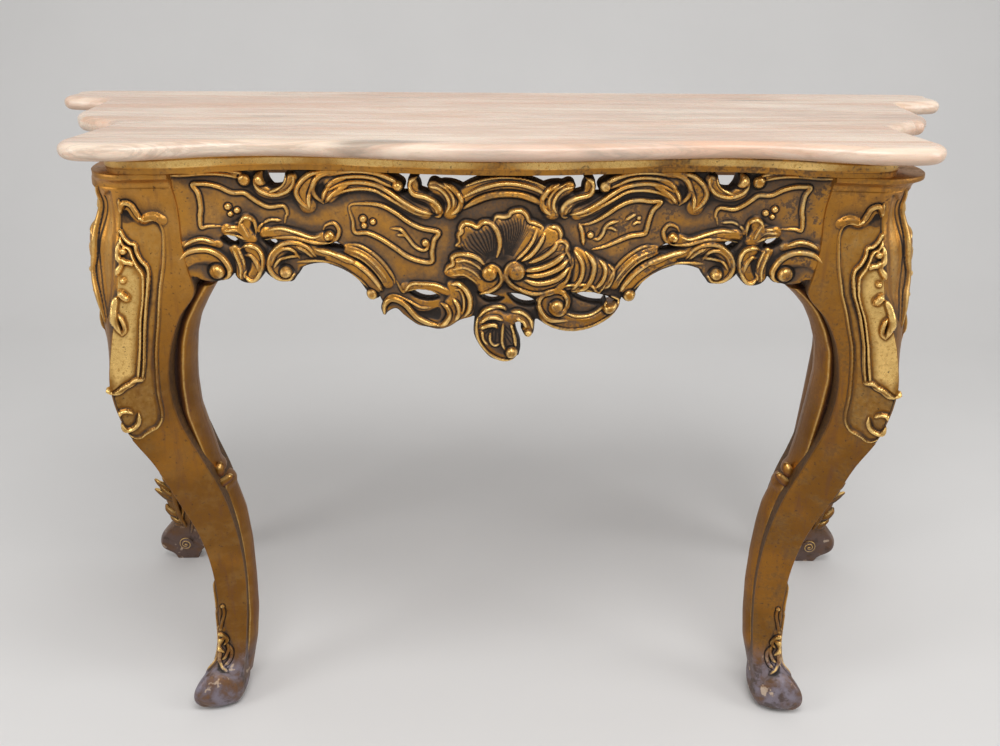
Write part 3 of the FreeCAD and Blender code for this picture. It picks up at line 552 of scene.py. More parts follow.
# ---- apron carving
# Strokes in (x, z) on the left half, which the right half mirrors.
APRON_LEFT = [
    ("m", 6, 3, [(-399, 821), (-365, 820), (-340, 820), (-314, 815)]),
    ("r", 2.2, 2, [(-398, 823), (-365, 822), (-339, 823), (-319, 820), (-308, 814)]),
    ("r", 1.8, 1.5, [(-399, 817), (-372, 817), (-353, 818), (-331, 816), (-314, 811)]),
    ("m", 9, 6, [(-293, 808), (-289, 797), (-276, 793), (-261, 797), (-253, 810)]),
    ("r", 2.2, 2.5, [(-298, 810), (-296, 802), (-290, 795), (-276, 790), (-260, 794), (-251, 803),
        (-250, 812)]),
    ("r", 1.8, 2.2, [(-282, 793), (-271, 798), (-263, 805), (-260, 815)]),
    ("r", 2.4, 2.6, [(-340, 753), (-356, 754), (-364, 753), (-364, 766), (-362, 777), (-363, 794),
        (-368, 805), (-361, 806), (-350, 805), (-338, 801), (-325, 794), (-311, 793), (-303, 787),
        (-294, 780), (-283, 775), (-266, 776), (-262, 767), (-264, 763), (-266, 755)]),
    ("m", 8, 5, [(-290, 743), (-272, 743), (-252, 740), (-234, 734), (-218, 737)]),
    ("r", 2, 2.2, [(-287, 747), (-271, 749), (-252, 744), (-234, 738), (-222, 740)]),
    ("r", 2.2, 2.2, [(-292, 734), (-276, 736), (-258, 737), (-241, 734), (-225, 730), (-211, 731),
        (-202, 738), (-199, 748), (-205, 756), (-215, 753), (-219, 747)]),
    ("r", 1.6, 1.8, [(-292, 755), (-283, 759), (-270, 758)]),
    ("r", 1.6, 1.8, [(-299, 743), (-297, 750), (-292, 755)]),
    ("m", 8, 5, [(-310, 736), (-321, 747), (-334, 749)]),
    ("m", 8, 6, [(-308, 736), (-314, 749), (-311, 761)]),
    ("r", 1.6, 2, [(-311, 736), (-325, 741), (-339, 743)]),
    ("r", 1.6, 2, [(-311, 737), (-322, 748), (-337, 748)]),
    ("r", 1.6, 2, [(-311, 738), (-319, 751), (-334, 753)]),
    ("r", 1.8, 2, [(-309, 738), (-317, 755), (-326, 757)]),
    ("r", 2, 2.4, [(-312, 737), (-318, 747), (-319, 757), (-312, 764), (-304, 761), (-301, 750),
        (-302, 740)]),
    ("m", 5, 3, [(-387, 732), (-368, 737), (-346, 731)]),
    ("r", 2, 2, [(-386, 731), (-376, 737), (-363, 739), (-349, 733)]),
    ("m", 12, 4, [(-392, 713), (-377, 719), (-360, 718), (-347, 710), (-342, 698)]),
    ("r", 3, 3, [(-392, 715), (-383, 723), (-372, 726), (-358, 725), (-345, 717), (-337, 704),
        (-336, 693), (-342, 687), (-351, 686)]),
    ("m", 9, 6, [(-309, 726), (-302, 713), (-304, 698), (-310, 686)]),
    ("m", 7, 4, [(-328, 725), (-323, 709), (-323, 691)]),
    ("r", 2.4, 2.6, [(-322, 724), (-312, 729), (-300, 724), (-295, 710), (-298, 696), (-305, 685),
        (-313, 683), (-319, 690), (-316, 697)]),
    ("r", 2.4, 2.2, [(-318, 716), (-309, 714), (-302, 703), (-302, 695)]),
    ("r", 1.5, 1.8, [(-330, 725), (-326, 712), (-323, 699), (-325, 685)]),
    ("r", 1.3, 1.4, [(-324, 725), (-319, 710), (-318, 702)]),
    ("m", 10, 5, [(-233, 722), (-250, 727), (-267, 727), (-281, 715), (-285, 701), (-278, 689),
        (-266, 687)]),
    ("r", 2.6, 2.6, [(-230, 712), (-239, 725), (-253, 731), (-268, 730), (-282, 720), (-289, 705),
        (-287, 693), (-278, 684), (-266, 683), (-259, 690)]),
    ("r", 2.2, 2.4, [(-251, 710), (-259, 721), (-270, 723), (-281, 715), (-286, 702)]),
    ("r", 1.8, 2, [(-250, 713), (-263, 712), (-276, 708), (-283, 699)]),
    ("r", 2.2, 2.4, [(-253, 726), (-242, 720), (-234, 711)]),
    ("m", 7, 5, [(-229, 721), (-210, 717), (-187, 708)]),
    ("r", 2.6, 2.6, [(-230, 723), (-210, 719), (-196, 713), (-182, 707)]),
    ("r", 1.6, 1.6, [(-255, 705), (-233, 707), (-211, 705), (-187, 695)]),
    ("m", 8, 5, [(-212, 714), (-190, 706), (-169, 692), (-155, 678)]),
    ("r", 3, 3, [(-216, 719), (-200, 716), (-183, 710), (-167, 699), (-155, 686), (-148, 673)]),
    ("r", 1.6, 1.6, [(-216, 704), (-201, 700), (-187, 693), (-174, 684), (-165, 675)]),
    ("m", 8, 4, [(-188, 724), (-168, 716), (-151, 702), (-141, 684)]),
    ("r", 1.8, 2, [(-188, 731), (-173, 729), (-156, 719), (-143, 706), (-133, 690), (-132, 683)]),
    ("r", 1.2, 1.3, [(-189, 724), (-174, 720), (-160, 711), (-147, 697), (-139, 684)]),
    ("r", 1.2, 1.3, [(-190, 719), (-175, 714), (-163, 705), (-150, 690), (-144, 679)]),
    ("m", 6, 4, [(-119, 680), (-103, 682), (-83, 682), (-64, 676)]),
    ("r", 1.6, 2, [(-130, 687), (-121, 673), (-112, 684), (-98, 686), (-79, 685), (-64, 678)]),
    ("r", 1.4, 1.6, [(-121, 673), (-106, 677), (-89, 677), (-75, 672)]),
    ("m", 11, 6, [(-236, 778), (-242, 794), (-230, 809), (-204, 818), (-176, 821)]),
    ("r", 2.8, 2.8, [(-233, 773), (-244, 782), (-249, 794), (-242, 807), (-228, 817), (-210, 821),
        (-189, 823), (-175, 824)]),
    ("r", 2.8, 2.8, [(-216, 780), (-227, 791), (-227, 802), (-220, 813), (-206, 819), (-180, 822)]),
    ("r", 2.2, 2.4, [(-233, 774), (-233, 788), (-226, 806)]),
    ("r", 2.4, 2.4, [(-218, 781), (-214, 794), (-204, 805), (-180, 816)]),
    ("r", 2.2, 2.2, [(-214, 781), (-202, 794), (-181, 807)]),
    ("m", 10, 6, [(-208, 809), (-191, 817), (-170, 820), (-149, 817), (-132, 811), (-123, 806)]),
    ("r", 3, 3, [(-208, 815), (-190, 821), (-169, 823), (-149, 821), (-132, 815), (-122, 808),
        (-122, 804)]),
    ("r", 2.2, 2.4, [(-208, 806), (-194, 812), (-174, 815), (-154, 814), (-140, 808), (-127, 803)]),
    ("m", 9, 5, [(-209, 790), (-192, 802), (-166, 805), (-145, 802), (-128, 792), (-109, 781),
        (-91, 775)]),
    ("r", 2.6, 2.8, [(-209, 797), (-193, 805), (-172, 809), (-149, 806), (-133, 798), (-117, 787),
        (-100, 778), (-81, 773)]),
    ("r", 1.8, 2, [(-210, 786), (-193, 795), (-172, 800), (-152, 799), (-136, 791), (-117, 781),
        (-101, 773), (-86, 771)]),
    ("m", 8, 6, [(-105, 812), (-103, 799), (-86, 792), (-77, 781)]),
    ("r", 2.8, 3, [(-100, 817), (-108, 812), (-110, 805), (-104, 797), (-90, 794), (-78, 788),
        (-72, 779), (-74, 771), (-79, 770)]),
    ("r", 1.8, 2, [(-85, 787), (-78, 781), (-76, 772)]),
    ("m", 10, 6, [(-80, 807), (-66, 800), (-58, 788), (-61, 777)]),
    ("r", 1.8, 2.2, [(-87, 807), (-74, 805), (-65, 796), (-62, 785), (-66, 776)]),
    ("r", 2.8, 3, [(-68, 811), (-56, 804), (-48, 792), (-50, 781), (-59, 774)]),
    ("r", 1.4, 1.6, [(-76, 811), (-64, 804), (-57, 794), (-57, 782)]),
    ("r", 2.5, 2.8, [(-184, 778), (-167, 782), (-146, 781), (-128, 773), (-112, 762), (-96, 755),
        (-76, 751), (-81, 741), (-84, 727), (-85, 714), (-100, 714), (-115, 719), (-130, 729),
        (-148, 740), (-164, 746), (-179, 746), (-181, 760), (-184, 778)]),
    ("r", 1.8, 2.2, [(-134, 753), (-122, 752), (-114, 743), (-106, 733), (-97, 728), (-90, 730),
        (-88, 738), (-92, 739)]),
    ("r", 1.4, 1.6, [(-127, 745), (-118, 745), (-111, 740)]),
]
# The strokes above that the right half doesn't mirror, and its own in their place.
LEFT_ONLY = ((-184, 778), (-134, 753), (-127, 745))
RIGHT_PANEL = [
    ("r", 2.5, 2.8, [(95, 761), (104, 761), (115, 765), (127, 772), (139, 780), (152, 786),
        (166, 788), (180, 786), (193, 785), (184, 775), (180, 763), (177, 750), (174, 746),
        (157, 744), (141, 738), (126, 732), (111, 729)]),
    ("r", 2.2, 2.6, [(94, 762), (98, 750), (100, 735)]),
    ("r", 2, 2.4, [(112, 742), (118, 742), (123, 748), (126, 756), (132, 761), (142, 763)]),
    ("r", 1.4, 1.8, [(126, 755), (133, 755), (141, 751)]),
    ("r", 1.8, 2.2, [(151, 764), (157, 768), (163, 771)]),
    ("r", 1.6, 2, [(160, 758), (165, 761), (170, 760)]),
    ("b", 4.2, 4.2, [(108, 747)]),
    ("b", 2.8, 2.8, [(167, 766)]),
]
# The middle of the crest, the shell and the pendant.
APRON_CREST = [
    ("m", 9, 5, [(-45, 796), (-26, 806), (8, 812), (42, 806), (55, 796)]),
    ("r", 1.6, 2, [(-45, 807), (-25, 815), (-2, 819), (22, 818), (41, 813), (52, 807)]),
    ("r", 2.4, 2.8, [(-45, 795), (-28, 804), (-9, 810), (8, 812), (25, 810), (43, 804), (55, 795)]),
    ("r", 3.6, 3.6, [(-45, 781), (-29, 791), (-12, 797), (8, 799), (26, 797), (41, 791),
        (53, 783)]),
]
APRON_SHELL = [
    ("r", 2.6, 2.6, [(-55, 735), (-51, 741), (-52, 748), (-48, 754), (-49, 758), (-44, 764),
        (-35, 763), (-29, 760), (-23, 765), (-14, 765), (-6, 757), (-2, 745), (-2, 734),
        (-5, 723)]),
    ("r", 2.4, 2.4, [(-9, 765), (-6, 772), (3, 772), (9, 774), (12, 778), (23, 780), (30, 775),
        (34, 767), (40, 765), (49, 760), (48, 754)]),
    ("r", 2.2, 2.4, [(58, 760), (67, 759), (72, 752), (72, 743)]),
    ("r", 2.2, 2.4, [(65, 740), (74, 742), (80, 737), (80, 729), (84, 722), (85, 712)]),
    ("r", 2.4, 3, [(25, 718), (37, 727), (46, 739), (52, 752)]),
    ("r", 1.8, 2.2, [(18, 719), (29, 730), (38, 743), (43, 757)]),
    ("r", 2.4, 2.6, [(34, 716), (50, 723), (62, 732), (69, 742)]),
    ("r", 3, 3.4, [(28, 706), (47, 709), (64, 716), (78, 727)]),
    ("r", 3, 3.4, [(31, 700), (50, 701), (69, 708), (82, 719)]),
    ("r", 3, 3.4, [(29, 694), (47, 690), (68, 695), (84, 709)]),
    ("r", 2.4, 2.6, [(-69, 702), (-65, 709), (-59, 713), (-60, 720), (-54, 725), (-42, 726),
        (-29, 722), (-20, 713)]),
    ("r", 1.3, 1.4, [(-57, 716), (-43, 718), (-31, 713), (-22, 705)]),
    ("r", 1.3, 1.4, [(-60, 706), (-45, 709), (-32, 703), (-25, 695)]),
    ("r", 1.3, 1.4, [(-62, 698), (-46, 700), (-34, 693), (-28, 687)]),
    ("r", 2.4, 2.6, [(-21, 708), (-12, 712), (-4, 708), (1, 698), (-1, 687), (-12, 679),
        (-26, 674)]),
    ("r", 3, 3.2, [(27, 712), (17, 716), (9, 711), (6, 699), (12, 687), (26, 679), (41, 675),
        (59, 677), (74, 684), (83, 695), (86, 706)]),
    ("r", 2.4, 2.8, [(89, 729), (97, 718), (100, 707), (98, 694), (91, 684), (87, 679)]),
    ("r", 2.8, 3, [(103, 727), (111, 718), (114, 707), (111, 692), (103, 681), (93, 675)]),
    ("r", 2.4, 2.8, [(120, 717), (127, 709), (128, 698), (124, 688), (116, 680)]),
    ("r", 1.8, 2.2, [(132, 710), (139, 702), (138, 692), (134, 683), (127, 679)]),
    ("r", 1.6, 1.8, [(75, 743), (81, 735), (83, 727)]),
    ("r", 1.6, 2, [(85, 726), (87, 714), (84, 702), (79, 691), (68, 685)]),
    ("r", 2.8, 3.4, [(-61, 687), (-52, 688), (-43, 680), (-38, 668), (-39, 655), (-45, 646)]),
    ("r", 1.4, 1.8, [(-58, 680), (-50, 680), (-46, 670), (-46, 656), (-50, 646)]),
    ("r", 2.4, 3, [(-59, 669), (-53, 660), (-52, 649), (-57, 640)]),
    ("r", 2.8, 3.2, [(-74, 661), (-67, 656), (-64, 647), (-68, 638), (-75, 632)]),
    ("r", 3.2, 3.8, [(-147, 642), (-146, 654), (-139, 662), (-129, 662), (-119, 656), (-112, 648),
        (-104, 640), (-91, 634), (-78, 631)]),
    ("r", 1.4, 1.6, [(-147, 660), (-138, 667), (-128, 667), (-114, 661), (-100, 654), (-84, 655)]),
    ("r", 3, 3.2, [(84, 640), (61, 642), (50, 652), (46, 664), (51, 674), (63, 679), (76, 677),
        (83, 667), (81, 655), (72, 649), (62, 654), (61, 664)]),
    ("r", 2.6, 2.6, [(46, 661), (50, 644), (64, 632), (89, 626), (114, 629), (135, 640), (146, 654),
        (147, 663), (138, 668)]),
    ("r", 1.8, 2, [(81, 649), (96, 645), (112, 646), (125, 654), (131, 662)]),
    ("r", 2.4, 2.6, [(-29, 644), (-31, 630), (-27, 612), (-15, 596), (1, 588), (13, 588),
        (20, 594)]),
    ("r", 2.2, 2.6, [(-28, 645), (-20, 654), (-8, 658), (3, 657), (7, 652)]),
    ("r", 2.2, 2.8, [(-26, 638), (-17, 645), (-6, 646), (2, 642)]),
    ("r", 2.4, 2.8, [(-26, 631), (-17, 635), (-8, 636), (-4, 632)]),
    ("r", 1.6, 1.8, [(-23, 628), (-22, 617), (-16, 609)]),
    ("r", 1.4, 1.8, [(-13, 626), (-13, 615), (-8, 609), (-1, 611)]),
    ("r", 1.6, 1.8, [(3, 638), (2, 625), (2, 612), (6, 602)]),
    ("r", 1.8, 2.2, [(12, 637), (16, 628), (18, 616), (19, 606)]),
    ("r", 2.2, 2.6, [(11, 652), (22, 653), (32, 648), (38, 640), (40, 630)]),
    ("r", 2, 2.4, [(19, 645), (28, 640), (32, 632)]),
]
APRON_AREAS = [
    ("p", 9, 7, [(-70, 701), (-62, 715), (-62, 722), (-54, 727), (-49, 730), (-56, 735), (-52, 741),
        (-54, 751), (-50, 760), (-43, 766), (-29, 763), (-21, 767), (-12, 767), (-6, 774), (6, 775),
        (12, 780), (24, 782), (32, 775), (35, 768), (43, 766), (51, 761), (58, 763), (69, 760),
        (74, 751), (74, 744), (82, 736), (81, 729), (86, 720), (88, 708), (85, 695), (76, 683),
        (60, 675), (41, 673), (26, 677), (13, 686), (3, 690), (-9, 677), (-26, 673), (-31, 684),
        (-44, 693), (-59, 693)]),
    ("p", 7, 6, [(87, 730), (104, 728), (120, 718), (135, 709), (142, 699), (141, 688), (132, 677),
        (114, 675), (97, 673), (85, 676)]),
    ("p", 7, 6, [(45, 661), (49, 674), (63, 681), (78, 678), (84, 667), (83, 652), (107, 647),
        (123, 654), (127, 665), (140, 668), (149, 661), (147, 651), (135, 639), (114, 628),
        (89, 624), (64, 630), (49, 643)]),
    ("p", 9, 8, [(-30, 644), (-20, 656), (-6, 657), (8, 651), (23, 655), (36, 646), (43, 634),
        (43, 623), (34, 618), (25, 623), (21, 629), (23, 618), (23, 606), (22, 594), (14, 586),
        (-1, 586), (-15, 595), (-28, 610), (-33, 628)]),
    ("p", 6, 5, [(-66, 689), (-51, 693), (-39, 684), (-32, 670), (-32, 657), (-38, 640), (-54, 633),
        (-72, 628), (-80, 632), (-70, 640), (-64, 650), (-70, 662), (-66, 672)]),
    ("s", 5, 2.4, [(-117, 657), (-103, 650), (-91, 651), (-78, 656), (-74, 649), (-77, 639),
        (-88, 639), (-102, 643)]),
]
STAINED = [
    ("w", 7, 1.7, [(-64, 706), (-60, 722), (-52, 738), (-50, 756), (-38, 762), (-20, 763),
        (-5, 768), (12, 776), (26, 776), (34, 764), (28, 748), (20, 730), (8, 716), (-4, 714),
        (-14, 714), (-26, 722), (-44, 727), (-56, 722)]),
    ("w", 4, 1.6, [(-118, 659), (-103, 651), (-91, 652), (-78, 657), (-73, 649), (-76, 638),
        (-88, 638), (-102, 641)]),
    ("w", 5, 1.7, [(-26, 636), (-20, 648), (-6, 652), (6, 646), (16, 640), (20, 625), (18, 606),
                   (6, 594), (-12, 600), (-24, 614)]),
    ("w", 5, 1.4, [(54, 636), (50, 650), (56, 640), (80, 636), (104, 636), (126, 646), (138, 658),
                   (126, 640), (100, 632), (72, 631)]),
]
# Beads as (x, z, radius).
SIDE_BEADS = [
    (-309, 809, 7.3), (-289, 811, 8.5), (-351, 697, 9.5), (-269, 693, 7.3), (-211, 740, 6.5),
    (-331, 777, 4.2), (-321, 772, 3.9), (-329, 768, 3.3), (-162, 667, 7.3), (-123, 806, 6.5),
]
LEFT_BEADS = [(-168, 763, 4.6), (-156, 760, 3.9), (-167, 755, 3.9), (-92, 737, 4.6)]
MIDDLE_BEADS = [
    (-14, 703, 9.4), (19, 705, 10.5), (69, 659, 8.3), (136, 656, 9.4), (14, 599, 7.6),
    (161, 667, 8.2), (34, 624, 5.4),
]

# Fans of fine cuts in the shell: root, degrees from and to, radii, number.
SHELL_FANS = [
    ((-8, 712), (92, 160), (12, 48), 13),
    ((8, 714), (58, 104), (12, 58), 12),
    ((-8, 700), (150, 200), (14, 46), 8),
    ((20, 704), (8, 34), (14, 60), 4),
    ((-4, 640), (200, 330), (10, 34), 10),
]


CUT_WIDTH, CUT_DEPTH = 1.1, 1.0
CUT_BEND, CUT_WAVES = 0.12, 3            # how far and how often the cuts bend as they fan
CUT_MIDDLE = 0.6                         # half way point, as a share of both radii together


def shell_cuts():
    """Shallow cuts that fan out over the shell's lobes and the pendant."""
    cuts = []
    for (x, z), (a0, a1), (near_end, far_end), count in SHELL_FANS:
        for angle in np.radians(np.linspace(a0, a1, count)):
            bend = angle + CUT_BEND * math.sin(CUT_WAVES * angle)
            middle = CUT_MIDDLE * (near_end + far_end)
            line = [(x + r * math.cos(a), z + r * math.sin(a))
                    for r, a in ((near_end, angle), (middle, bend), (far_end, angle))]
            cuts.append(("g", CUT_WIDTH, CUT_DEPTH, line))
    return cuts


# Carving of the side aprons as (depth, z), and how it is cut.
SIDE_LOW, SIDE_CELL, SIDE_GROUND = 660.0, 1.5, 1.0
SIDE_APRON = [
    ("m", 9, 5, [(140, 700), (165, 716), (196, 722), (228, 710), (252, 690)]),
    ("r", 2.6, 3, [(138, 694), (160, 710), (190, 718), (222, 706), (246, 684), (258, 676)]),
    ("r", 2, 2.4, [(134, 706), (158, 722), (192, 732), (228, 722), (252, 700)]),
    ("m", 9, 5, [(380, 700), (355, 716), (324, 722), (292, 710), (268, 690)]),
    ("r", 2.6, 3, [(382, 694), (360, 710), (330, 718), (298, 706), (274, 684), (262, 676)]),
    ("r", 2, 2.4, [(386, 706), (362, 722), (328, 732), (292, 722), (268, 700)]),
    ("r", 2.6, 2.8, [(150, 742), (148, 790), (168, 806), (210, 802), (236, 790), (232, 764),
                     (206, 748), (176, 744), (150, 742)]),
    ("r", 2.6, 2.8, [(370, 742), (372, 790), (352, 806), (310, 802), (284, 790), (288, 764),
                     (314, 748), (344, 744), (370, 742)]),
    ("m", 12, 6, [(260, 700), (260, 730), (260, 760)]),
    ("r", 2.6, 3, [(260, 692), (242, 716), (240, 744), (250, 762)]),
    ("r", 2.6, 3, [(260, 692), (278, 716), (280, 744), (270, 762)]),
    ("r", 2.4, 3, [(260, 694), (260, 724), (260, 766)]),
    ("b", 7, 7, [(260, 778)]),
]


# ---- slab
# Chips in the edge as (x, depth, half width, depth of the chip).
CHIPS = [(556, 197, 10, 4.0), (597, 380, 7, 2.2), (-515, 20, 6, 1.2), (-670, 440, 5, 1.4)]
SLAB_STEP = 2.6              # spacing of the points round the slab
ROUND_STEPS = 7              # rings from the edge's middle to the flat face
WALL_RADIUS = 1.5            # the wall edge is nearly square,
WALL_AWAY, WALL_FADE = 26, 10  # and the round edge fades into it over this stretch
TOP_BREADTH = 0.45           # the upper half of the edge is this much broader
FLAT_RINGS = [(3.0, 0.0), (1.2, 0.0)]
FLAT_STEP = 1.5              # spacing of the rings on the flat faces
EDGE_SHARPNESS = 0.55        # chips and waves fade out this far from the edge's middle
SLAB_INSET = 0.3


def edge_waves(x, y):
    """Slight unevenness of an edge that was ground by hand."""
    long_waves = 0.25 * np.sin(x / 31) * np.sin(y / 23 + 1)
    return long_waves + 0.15 * np.sin(x / 9 + y / 7)


def edge_chips(x, y):
    """How far the chips bite into the edge."""
    bite = np.zeros(len(x))
    for cx, cy, wide, deep in CHIPS:
        away = np.hypot(x - cx, y - cy)
        bite = np.maximum(bite, deep * np.clip(1 - (away / wide) ** 2, 0, 1) ** 0.7)
    return bite


def slab_mesh(radius):
    """Rounded slab: rings of the outline from the flat top round to the flat underside."""
    wall_middle = [(0, SLAB_BACK, 0)]
    path = rounded(wall_middle + both_sides(SLAB_EDGE) + wall_middle, FINE_STEP)
    path = even(path, SLAB_STEP)[:-1]
    out = outward(np.roll(path, -1, 0) - np.roll(path, 1, 0))
    x, y = path.T
    wall = np.clip((y - (SLAB_BACK - WALL_AWAY)) / WALL_FADE, 0, 1)
    r = radius + (WALL_RADIUS - radius) * wall
    broad = r * (1 + TOP_BREADTH * (1 - wall))
    waves, bite = edge_waves(x, y), edge_chips(x, y)
    rings = []
    turn = np.linspace(0, math.pi / 2, ROUND_STEPS)
    spans = FLAT_RINGS + [(1 - math.sin(t), 1 - math.cos(t)) for t in turn]
    levels = [(k, d, False) for k, d in spans] + [(k, d, True) for k, d in reversed(spans)]
    for k, d, low in levels:
        across = r if low else broad
        inset = np.where(k > 1, across + (k - 1) * FLAT_STEP, across * k)
        z = SLAB_LOW + r * d if low else SLAB_TOP - r * d
        sharp = math.exp(-(k / EDGE_SHARPNESS) ** 2)
        inset = inset + waves * (0.4 + 0.6 * sharp) + bite * sharp + SLAB_INSET
        p = path - out * inset[:, None]
        rings.append(place(p[:, 0], np.minimum(p[:, 1], SLAB_BACK), z))
    return np.concatenate(rings), tube_faces(len(rings), len(path), flip_side=True)


# ---- rail edge
# Section of the lip as (inset, height above the rail's underside).
MOULDING = [(9, 0.5), (4.5, 0.3), (1.6, 1.0), (0.6, 2.4), (1.6, 3.8), (2.6, 4.4), (0.6, 5.2),
            (-0.7, 6.8), (-0.9, 9.4), (-0.8, 12.4), (-0.5, 15.2), (0.6, 17.0), (3.0, 17.7),
            (9, 17.8)]
# How deep it counts as lying, at each height: below zero gets a painted highlight on the bulge, and
# the highest values paint shade in the cove.
MOULDING_DEPTH = [(0, 1.2), (2.4, 0.4), (4.3, 2.4), (6, -0.2), (8, -1.1), (14, -1.3), (18, 0.0)]
RAIL_STEP = 2.5              # spacing of the points along the lip
PROFILE_STEP = 0.9           # and across it


def rail_moulding():
    """Moulded lip along the front and the flanks of the top rails."""
    path = even(rounded(both_sides(RAIL_EDGE), FINE_STEP), RAIL_STEP)
    out = outward(np.gradient(path, axis=0))
    profile = smooth(MOULDING, PROFILE_STEP)
    run = np.arange(len(path)) * RAIL_STEP
    wear = 0.35 * np.sin(run / 17) * np.sin(run / 41 + 2)
    stained = 0.55 * np.sin(run / 23) * np.sin(run / 61 + 1)
    rows = []
    for inset, up in profile:
        p = path - out * (inset + wear)[:, None]
        rows.append(place(p[:, 0], p[:, 1], RAIL_LOW + up))
    grid = np.stack(rows, 1)
    depth = np.interp(profile[:, 1], *zip(*MOULDING_DEPTH))
    faces = tube_faces(*grid.shape[:2], flip_side=True)
    return grid.reshape(-1, 3), faces, (depth + stained[:, None]).ravel()


# ---- legs
# Rows: height, then plan points round the section: inner front, arris (the
# edge between front and flank), side bulge, back outer, back inner.
FRONT_LEG = [
    (0, (404, 60), (438, 50), (447, 85), (430, 116), (402, 119)),
    (6, (396, 53), (452, 39), (453, 86), (436, 122), (394, 124)),
    (14, (391, 51), (460, 34), (455, 87), (439, 124), (390, 126)),
    (28, (388, 53), (464, 33), (454, 88), (441, 127), (387, 129)),
    (42, (388, 58), (459, 39), (448, 90), (438, 127), (387, 130)),
    (56, (388, 66), (443, 52), (440, 93), (435, 128), (387, 131)),
    (70, (388, 74), (427, 64), (434, 97), (430, 130), (386, 134)),
    (85, (387, 80), (423, 69), (431, 101), (427, 132), (386, 136)),
    (140, (381, 86), (419, 75), (429, 104), (423, 133), (382, 140)),
    (220, (376, 85), (419, 75), (427, 104), (421, 133), (378, 141)),
    (300, (378, 74), (428, 62), (436, 98), (430, 130), (381, 139)),
    (370, (388, 61), (446, 44), (453, 90), (447, 127), (390, 136)),
    (430, (407, 50), (461, 26), (469, 80), (462, 122), (407, 132)),
    (490, (425, 39), (483, 7), (489, 67), (483, 117), (422, 129)),
    (550, (428, 31), (491, -1), (501, 60), (498, 116), (425, 126)),
    (610, (415, 30), (483, 6), (509, 63), (506, 119), (412, 126)),
    (640, (402, 30), (477, 11), (513, 66), (508, 124), (402, 128)),
    (670, (381, 30), (471, 16), (517, 68), (510, 128), (391, 129)),
    (700, (384, 29), (466, 20), (514, 68), (509, 128), (391, 129)),
    (730, (387, 28), (461, 24), (512, 67), (508, 128), (391, 129)),
    (785, (388, 29), (455, 29), (490, 62), (493, 128), (391, 129)),
    (803, (391, 28), (452, 21), (494, 52), (497, 128), (391, 129)),
]
FRONT_CAP_LOW = ((391, 28), (452, 21), (494, 52), (497, 128), (391, 129))
RIGHT_CAP = [FRONT_CAP_LOW, ((391, 16), (452, 6), (506, 46), (500, 128), (391, 129))]
LEFT_CAP = [FRONT_CAP_LOW, ((391, 16), (447, 8), (489, 44), (492, 128), (391, 129))]
# The right front leg stands a little further out at the knee: (height, shift).
LEAN = [(0, -3), (50, -1), (90, 1), (191, 4), (292, 7), (375, 11), (404, 12), (440, 11),
        (507, 9), (610, 9), (650, 5), (676, 0), (900, 0)]
# The right rear leg kicks out a little at its ankle and tucks its foot in.
REAR_LEAN = [(0, -14), (30, -9), (60, -6), (110, 0), (170, 5), (300, 5), (450, 0), (900, 0)]
REAR_LEG = [
    (0, (576, 448), (614, 447), (617, 458), (613, 471), (576, 471)),
    (12, (573, 444), (618, 443), (622, 456), (618, 472), (571, 472)),
    (28, (560, 440), (634, 437), (641, 454), (635, 472), (554, 472)),
    (48, (551, 436), (634, 433), (641, 452), (635, 472), (549, 472)),
    (72, (545, 432), (617, 429), (624, 450), (618, 472), (544, 472)),
    (100, (541, 428), (590, 424), (597, 446), (593, 472), (541, 472)),
    (160, (540, 420), (581, 415), (589, 443), (586, 472), (540, 472)),
    (230, (543, 413), (582, 407), (591, 440), (588, 472), (543, 472)),
    (310, (549, 407), (588, 400), (598, 437), (594, 472), (549, 472)),
    (390, (557, 402), (601, 394), (610, 434), (605, 472), (557, 472)),
    (460, (562, 399), (613, 387), (623, 432), (617, 472), (562, 472)),
    (530, (556, 396), (624, 384), (635, 430), (629, 472), (556, 472)),
    (600, (538, 393), (630, 384), (641, 430), (635, 472), (538, 472)),
    (660, (508, 392), (629, 386), (640, 430), (635, 472), (508, 472)),
    (715, (497, 391), (618, 388), (630, 430), (626, 472), (497, 472)),
    (785, (497, 391), (592, 391), (603, 430), (600, 472), (497, 472)),
    (803, (497, 391), (594, 391), (606, 430), (604, 472), (497, 472)),
]
REAR_CAP = [((497, 391), (594, 391), (606, 430), (604, 472), (497, 472)),
            ((497, 386), (593, 387), (612, 428), (610, 472), (497, 472))]
# Moulding of the cap: height above its foot, and share of its full overhang.
CAP_PROFILE = [(0.0, 0.0), (2.0, 0.02), (4.5, 0.08), (7.0, 0.20), (9.0, 0.38), (10.8, 0.62),
               (12.0, 0.86), (12.8, 0.97), (13.8, 1.0), (16.0, 1.0), (18.4, 0.98), (19.0, 0.92)]
CAP_LOW = 803.0

